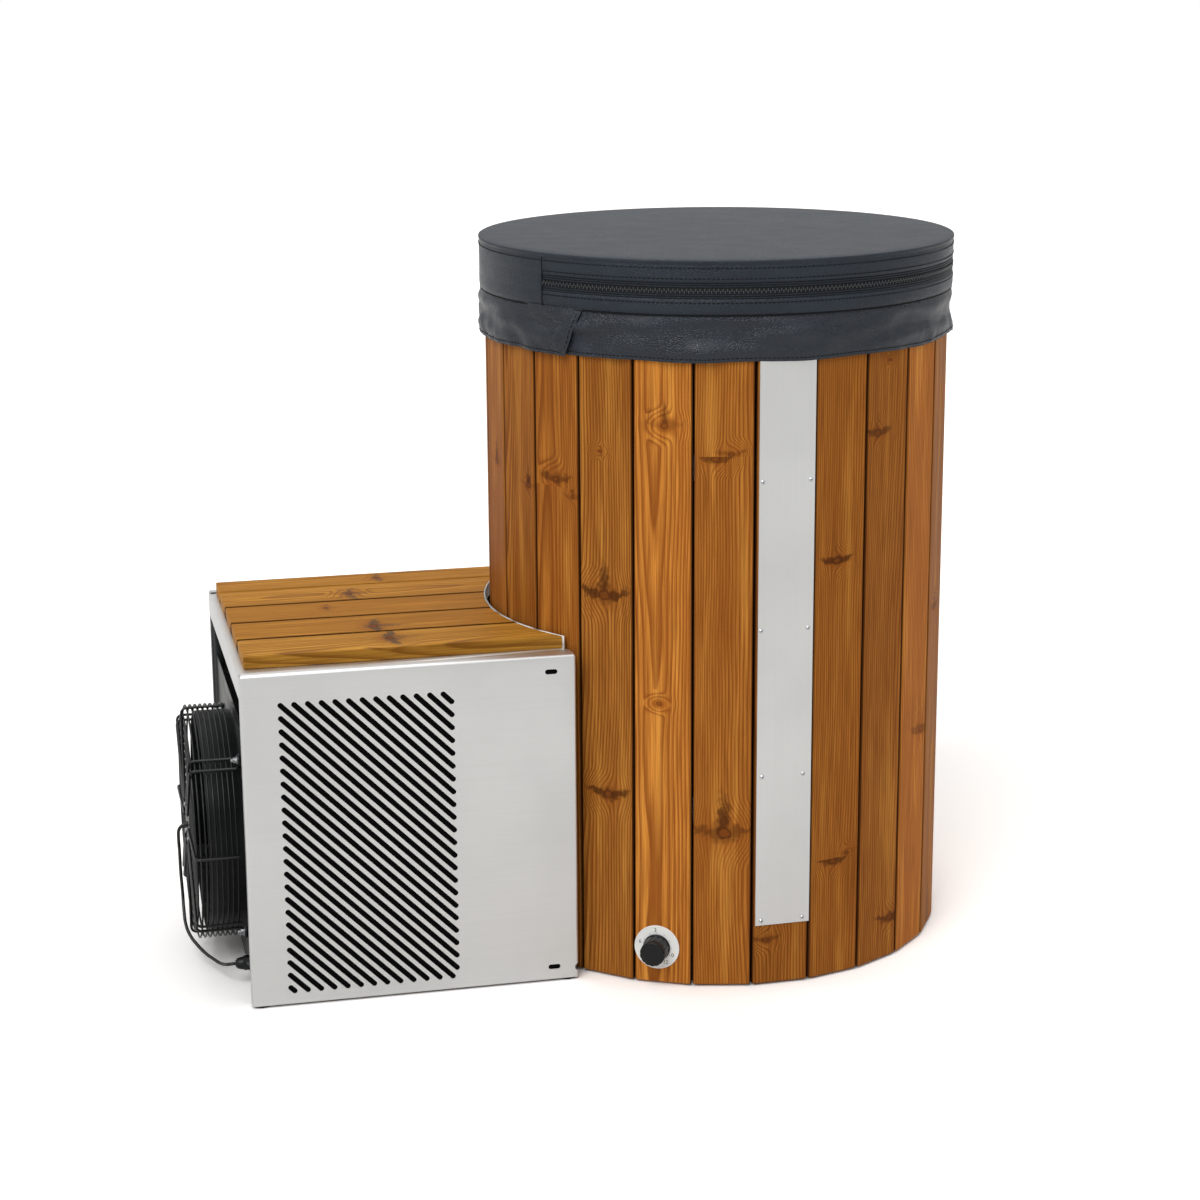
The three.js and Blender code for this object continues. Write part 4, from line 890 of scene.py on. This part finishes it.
shape = bmesh.new()
heights = (ZIP_MIDDLE - TOOTH_STAGGER, ZIP_MIDDLE + TOOTH_STAGGER)
count = int(ZIP_RUN * COVER_RADIUS / TOOTH_PITCH)
add_row(shape, TOOTH_SIZE, TOOTH_RADIUS, heights, ZIP_START, ZIP_RUN, count)
show("zip_teeth", shape, coil_nylon, "cover")

shape = bmesh.new()
for height in ZIP_FOLDS:
    add_bead(shape, ZIP_FOLD_RADIUS, ZIP_MIDDLE + height, ZIP_START, ZIP_RUN, ZIP_FOLD_STEPS,
             ZIP_FOLD_DIAMETER)
outwards(shape)
show("zip_folds", shape, vinyl, "cover")

shape = shape_of("zip_slider")
round_edges(shape, sharp_edges(shape), SLIDER_EASING)
show("zip_pull", shape, nylon_black, "zip_slider", ["zip_slider"])


# Stitching round the cover, its upright seams beside the zip, and a dark ring of thread under the cover's
# edge, painted shade over the skirt's top
STITCH_PITCH = 7 * MM
STITCH_SIZE = (0.9 * MM, 4.6 * MM, 1.4 * MM)
STITCH_SHARE = 0.66
STITCH_DIAMETER = 1.3 * MM
WELT_STITCHES = 1148.5 * MM
ZIP_STITCHES = 4.5 * MM
HEM = 0.93
LAP_ROWS = 9
LAP_STITCHES = radians(0.9)
SKIRT_PROUD = 0.1 * MM
SEAM_DIAMETER = 2.2 * MM
SEAM_HEIGHTS = (1079, 1095, 1113, 1133, 1153)
SKIRT_SHADE_RADIUS = COVER_RADIUS - 1.6 * MM
SKIRT_SHADE_HEIGHT = 1077.4 * MM

shape = bmesh.new()
for proud, height, start, run in (
    (0.3 * MM, WELT_STITCHES, 0, tau),
    (0.3 * MM, ZIP_HIGH + ZIP_STITCHES, ZIP_START, ZIP_RUN),
    (0.2 * MM, ZIP_LOW - ZIP_STITCHES, ZIP_START, ZIP_RUN),
):
    radius = COVER_RADIUS + proud
    add_row(shape, STITCH_SIZE, radius, [height], start, run, int(run * radius / STITCH_PITCH))
show("cover_stitches", shape, thread_and_shade, "cover")

shape = bmesh.new()
count = int(SKIRT_RUN * COVER_RADIUS / STITCH_PITCH)
hem_line = [(SKIRT_RUN * i / count, HEM) for i in range(count - 2)]
lap_line = [(SKIRT_RUN - LAP_STITCHES, i / LAP_ROWS) for i in range(1, LAP_ROWS)]
for places in (hem_line, lap_line):
    for here, ahead in zip(places, places[1:]):
        first = skirt_place(*here, SKIRT_PROUD)
        second = skirt_place(*ahead, SKIRT_PROUD)
        add_tube(shape, [first, first.lerp(second, STITCH_SHARE)], STITCH_DIAMETER, 6)
outwards(shape)
show("skirt_stitches", shape, thread_and_shade, "cover")

shape = bmesh.new()
for turn in (ZIP_START, ZIP_END):
    arm = rotated(turn, 4, "Z")
    add_tube(shape, [arm @ Vector((COVER_RADIUS, 0, z * MM)) for z in SEAM_HEIGHTS], SEAM_DIAMETER)
outwards(shape)
show("cover_seams", shape, thread_and_shade, "cover")

# Painted shade: a dark ring where the cover's edge overhangs the skirt
shape = bmesh.new()
add_bead(shape, SKIRT_SHADE_RADIUS, SKIRT_SHADE_HEIGHT, 0, tau, COVER_STEPS, SEAM_DIAMETER)
outwards(shape)
show("skirt_shade_ring", shape, thread_and_shade, "cover")


# Folded front panel with its louvres
PANEL_LOW, PANEL_HIGH = corners("front_panel")
SHEET = 1.5 * MM
FOLD_ROUND = 5 * MM
LOUVRE_LEFT, LOUVRE_RIGHT = -762 * MM, -497 * MM
LOUVRE_BOTTOM, LOUVRE_TOP = 25 * MM, 493 * MM
LOUVRE_PITCH = 21 * MM
LOUVRE_WIDTH = 8.6 * MM
LOUVRE_SHORTEST = 5 * MM
OBLONG_LENGTH, OBLONG_WIDTH = 19.5 * MM, 8 * MM
OBLONG_INSET = 40 * MM
OBLONG_HEIGHTS = (517 * MM, 25 * MM)
NOTCH_RADIUS = 6 * MM
NOTCH_HEIGHT = 21 * MM
CUT_START = 4 * MM
CUT_DEPTH = 12 * MM


def folded_sheet(low, high, fold_side):
    """A face with round folds on three sides, open below and behind. fold_side is 1 for folds to +Y."""
    shape = bmesh.new()
    below = Vector((0, 0, FOLD_ROUND))
    add_block(shape, moved((low + high - below) / 2), high - low + below)
    shape.normal_update()
    away = [f for f in shape.faces if f.normal.y * fold_side > 0.9 or f.normal.z < -0.9]
    bmesh.ops.delete(shape, geom=away, context="FACES")
    round_edges(shape, [e for e in shape.edges if len(e.link_faces) == 2], FOLD_ROUND, 6)
    bmesh.ops.bisect_plane(shape, geom=shape.verts[:] + shape.edges[:] + shape.faces[:],
                           plane_co=low, plane_no=(0, 0, -1), clear_outer=True)
    bmesh.ops.solidify(shape, geom=shape.faces[:], thickness=SHEET)
    return shape


def add_slot(shape, first, second, width, depth):
    """Adds a cutter for a slot with round ends between two places on the panel."""
    run = second - first
    turn = rotated(radians(90), 4, "X")
    made = bmesh.ops.create_circle(shape, cap_ends=True, segments=24, radius=width / 2,
                                   matrix=moved(first) @ turn)
    for vert in made["verts"]:
        if (vert.co - first).dot(run) > 0:
            vert.co += run
    faces = list({f for v in made["verts"] for f in v.link_faces})
    pushed = bmesh.ops.extrude_face_region(shape, geom=faces)["geom"]
    bmesh.ops.translate(shape, verts=[v for v in pushed if isinstance(v, bmesh.types.BMVert)],
                        vec=(0, depth, 0))


cutters = bmesh.new()
front = PANEL_LOW.y - CUT_START
starts = []
x = LOUVRE_LEFT
while x < LOUVRE_RIGHT - LOUVRE_WIDTH:
    starts.append((x, LOUVRE_TOP))
    x += LOUVRE_PITCH
z = LOUVRE_TOP - LOUVRE_PITCH
while z > LOUVRE_BOTTOM + LOUVRE_SHORTEST:
    starts.append((LOUVRE_LEFT, z))
    z -= LOUVRE_PITCH
for x, z in starts:
    run = max(min(LOUVRE_RIGHT - x, z - LOUVRE_BOTTOM), LOUVRE_WIDTH / 2)
    add_slot(cutters, Vector((x, front, z)), Vector((x + run, front, z - run)), LOUVRE_WIDTH, CUT_DEPTH)
half = Vector(((OBLONG_LENGTH - OBLONG_WIDTH) / 2, 0, 0))
for z in OBLONG_HEIGHTS:
    middle = Vector((PANEL_HIGH.x - OBLONG_INSET, front, z))
    add_slot(cutters, middle - half, middle + half, OBLONG_WIDTH, CUT_DEPTH)
notch = Vector((PANEL_HIGH.x, front, NOTCH_HEIGHT))
add_slot(cutters, notch, notch + Vector((NOTCH_RADIUS, 0, 0)), NOTCH_RADIUS * 2, CUT_DEPTH * 2)
outwards(cutters)
cutter = linked("louvre_cutters", mesh_of("louvre_cutters", cutters))

panel = show("louvred_panel", folded_sheet(PANEL_LOW, PANEL_HIGH, 1), panel_steel, TUB,
             ["front_panel"])
pierce = panel.modifiers.new("louvres", "BOOLEAN")
pierce.object = cutter
pierce.operation = "DIFFERENCE"
pierce.solver = "EXACT"
bpy.context.view_layer.update()
pierced = bpy.data.meshes.new_from_object(panel.evaluated_get(bpy.context.evaluated_depsgraph_get()))
panel.modifiers.clear()
panel.data = pierced
bpy.data.objects.remove(cutter)
pierced.shade_smooth()
pierced.set_sharp_from_angle(angle=radians(FLAT_BELOW))

# Air filter behind the louvres
FILTER_LEFT = 34 * MM
FILTER_RIGHT = 20 * MM
FILTER_MARGIN = 12 * MM
FILTER_GAUGE = 1.2 * MM
shape = bmesh.new()
low = Vector((PANEL_LOW.x + FILTER_LEFT, PANEL_LOW.y + SHEET + SEAT, PANEL_LOW.z + FILTER_MARGIN))
high = Vector((PANEL_HIGH.x - FILTER_RIGHT, low.y + FILTER_GAUGE, PANEL_HIGH.z - FILTER_MARGIN))
add_block(shape, moved((low + high) / 2), high - low)
show("air_filter", shape, jacket_foam, TUB)

shape = folded_sheet(*corners("rear_panel"), -1)
show("plain_rear_panel", shape, panel_steel, TUB, ["rear_panel"], FLAT_BELOW)


# Wire guard of the fan: rings, single rods, and double rods whose ends loop round the fixing bolts
SIDE_RINGS = 8
FIRST_RING = GUARD_FACE + 6 * MM
SIDE_RING_PITCH = 8.2 * MM
LAST_RING = FIRST_RING + (SIDE_RINGS - 1) * SIDE_RING_PITCH
FACE_RING_PITCH = 13 * MM
HUB_RADIUS = 48 * MM
HUB_PLATE = 3 * MM
WIRE = 3.2 * MM
ROD = 4.6 * MM
ROD_COUNT = 8
ROD_SPREAD = 9 * MM
ROD_PAST = 2 * MM
ROD_LAP = 8 * MM
WELD = 0.6 * MM
ROD_OUT = GUARD_RADIUS + (WIRE + ROD) / 2 - WELD
ROD_OVER = GUARD_FACE - (WIRE + ROD) / 2 + WELD
BEND = 9 * MM
BOLT_RADIUS = 204 * MM
FOOT = SHROUD_FACE - SEAT - ROD / 2
OUTWARD = rotated(radians(-90), 4, "Y")


def round_axis(angle, place):
    """A place given as (x, aside, out), turned about the fan's axis."""
    return FAN_AXIS + rotated(angle, 3, "X") @ Vector(place)


def bent_rod(aside, end):
    """Rod from the hub over the guard's face, round the corner and back along its side."""
    corner = [(ROD_OVER + BEND - BEND * cos(t), aside, ROD_OUT - BEND + BEND * sin(t))
              for t in (pi / 2 * i / 5 for i in range(6))]
    return [(ROD_OVER, aside, HUB_RADIUS - ROD_LAP), *corner, (end, aside, ROD_OUT)]


def splayed_leg(aside):
    """Half of a double rod, down to its foot on the shroud."""
    rod = bent_rod(aside, FOOT - BEND * 0.7)
    return rod + [(FOOT - BEND * 0.2, aside, ROD_OUT + BEND * 0.25), (FOOT, aside, ROD_OUT + BEND * 0.8)]


shape = bmesh.new()
for i in range(SIDE_RINGS):
    add_ring(shape, FAN_AXIS + Vector((FIRST_RING + i * SIDE_RING_PITCH, 0, 0)), GUARD_RADIUS, WIRE)
radius = HUB_RADIUS + FACE_RING_PITCH
while radius < GUARD_RADIUS:
    add_ring(shape, FAN_AXIS + Vector((GUARD_FACE, 0, 0)), radius, WIRE)
    radius += FACE_RING_PITCH
loop = [(FOOT, -ROD_SPREAD * cos(t), BOLT_RADIUS + ROD_SPREAD * sin(t))
        for t in (pi * i / 8 for i in range(9))]
single = bent_rod(0, LAST_RING + ROD_PAST)
double = splayed_leg(-ROD_SPREAD) + loop + splayed_leg(ROD_SPREAD)[::-1]
for i in range(ROD_COUNT):
    path = double if i % 2 else single
    add_tube(shape, [round_axis(tau * i / ROD_COUNT, place) for place in path], ROD)
hub = FAN_AXIS + Vector((GUARD_FACE + HUB_PLATE / 2, 0, 0))
add_disc(shape, moved(hub) @ OUTWARD, HUB_RADIUS, HUB_PLATE, 48)
outwards(shape)
show("wire_guard", shape, powder_black, TUB, ["fan_guard"], 45)

# Bolts at the guard's feet and round the hub plate, each disc as (radius, height, sides)
FOOT_BOLT = [(7.6 * MM, 1.6 * MM, 28), (5.8 * MM, 5 * MM, 6), (3 * MM, 4 * MM, 16)]
HUB_BOLT = (4.5 * MM, 3.2 * MM, 6)
HUB_BOLT_COUNT = 4
HUB_BOLT_RADIUS = 32 * MM
BOLT_EASING = 0.3 * MM
shape = bmesh.new()
for i in range(1, ROD_COUNT, 2):
    place = round_axis(tau * i / ROD_COUNT, (FOOT - ROD / 2, 0, BOLT_RADIUS))
    for disc in FOOT_BOLT:
        add_disc(shape, moved(place) @ OUTWARD, *disc)
        place.x -= disc[1]
for i in range(HUB_BOLT_COUNT):
    angle = tau * (i + 0.5) / HUB_BOLT_COUNT
    place = round_axis(angle, (GUARD_FACE - HUB_PLATE / 2, 0, HUB_BOLT_RADIUS))
    add_disc(shape, moved(place) @ OUTWARD, *HUB_BOLT)
outwards(shape)
round_edges(shape, sharp_edges(shape, 50), BOLT_EASING, 1)
show("guard_bolts", shape, zinc, TUB)

# Grommet where the lead leaves the hub plate
GROMMET_RADII = (5.6 * MM, 4.4 * MM)
GROMMET_DEPTH = 3 * MM
GROMMET_SINK = 0.2 * MM
shape = bmesh.new()
place = Vector(LEAD_ROUTE[0]) * MM + Vector((GROMMET_SINK, 0, 0))
add_disc(shape, moved(place) @ OUTWARD, GROMMET_RADII[0], GROMMET_DEPTH, 24, GROMMET_RADII[1])
outwards(shape)
show("lead_grommet", shape, nylon_black, TUB)


# Solids that keep their shape, with their round faces smoothed
def smoothed(node, finish, body=TUB, smooth_below=32):
    show(node + "_finished", shape_of(node, flat=False), finish, body, [node], smooth_below)


smoothed("inner_tub", acrylic_white)
smoothed("insulation", joint_shade_foam)
smoothed("fan_shroud", powder_black)
smoothed("fan_motor", powder_black)
smoothed("fan_impeller", nylon_black, "fan")
smoothed("compressor", powder_black)
smoothed("circulation_pump", nylon_black)
for hose in ("suction_hose", "return_hose", "link_hose"):
    smoothed(hose, hose_rubber, smooth_below=50)
smoothed("cable_gland", nylon_black)
smoothed("heat_exchanger", jacket_foam)
smoothed("seat_tray", panel_steel)
smoothed("chiller_frame", powder_black)

for node, finish in {
    "base_board": plywood, "hoop_1": panel_steel, "hoop_2": panel_steel, "dial_control": nylon_black,
    "condenser_core": fins,
}.items():
    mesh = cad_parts[node].data
    mesh.materials.clear()
    mesh.materials.append(finish)


# Floor and light: a plain pale floor, an even surround and two broad far lamps
FLOOR_SIZE = 60
FLOOR_DROP = 0.3 * MM
FLOOR_LIT = (0.86, 0.845, 0.83, 1)
FLOOR_SEEN = (1.28, 1.255, 1.23, 1)
shape = bmesh.new()
bmesh.ops.create_grid(shape, x_segments=1, y_segments=1, size=FLOOR_SIZE / 2,
                      matrix=moved((0, 0, -FLOOR_DROP)))
floor = linked("studio_floor", mesh_of("studio_floor", shape))
material, _, add = new_finish("pale_studio_floor")
rays = add("LightPath").node.outputs
tone = add("Mix", rays["Is Camera Ray"], FLOOR_LIT, FLOOR_SEEN, **TINT)
diffuse = add("BsdfDiffuse", tone)
fill(material.node_tree.nodes["Material Output"], {"Surface": diffuse})
floor.data.materials.append(material)

# Surround: an even level for light; for reflections dim low down and bright from above
SURROUND = 0.55
LOW_REFLECTION = 0.36
HIGH_REFLECTION = 1.3
LOW_RISE = 0.25
HIGH_RISE = 0.7
world = bpy.data.worlds.new("studio")
bpy.context.scene.world = world
world.use_nodes = True
add = partial(add_node, world.node_tree)
rays = add("LightPath").node.outputs
direction = add("TexCoord", out="Generated")
rise = add("SeparateXYZ", direction, out="Z")
reflected = add("MapRange", rise, LOW_RISE, HIGH_RISE, LOW_REFLECTION, HIGH_REFLECTION)
level = add("Mix", rays["Is Glossy Ray"], SURROUND, reflected)
seen = add("Math MAXIMUM", rays["Is Camera Ray"], rays["Is Transmission Ray"])
level = add("Mix", seen, level, 1.0)
fill(world.node_tree.nodes["Background"], {"Color": (1, 1, 1, 1), "Strength": level})


def far_lamp(name, towards, spread, power):
    """A lamp too far off to fade over the floor, shining from a direction."""
    data = bpy.data.lights.new(name, "SUN")
    data.angle = radians(spread)
    data.energy = power
    lamp = linked(name, data)
    lamp.location = towards
    lamp.rotation_euler = Vector(towards).to_track_quat("Z", "Y").to_euler()


far_lamp("key_lamp", (-2.2, -2.8, 3.6), 40, 1.5)
far_lamp("back_lamp", (0.8, 1.5, 3.8), 50, 0.6)
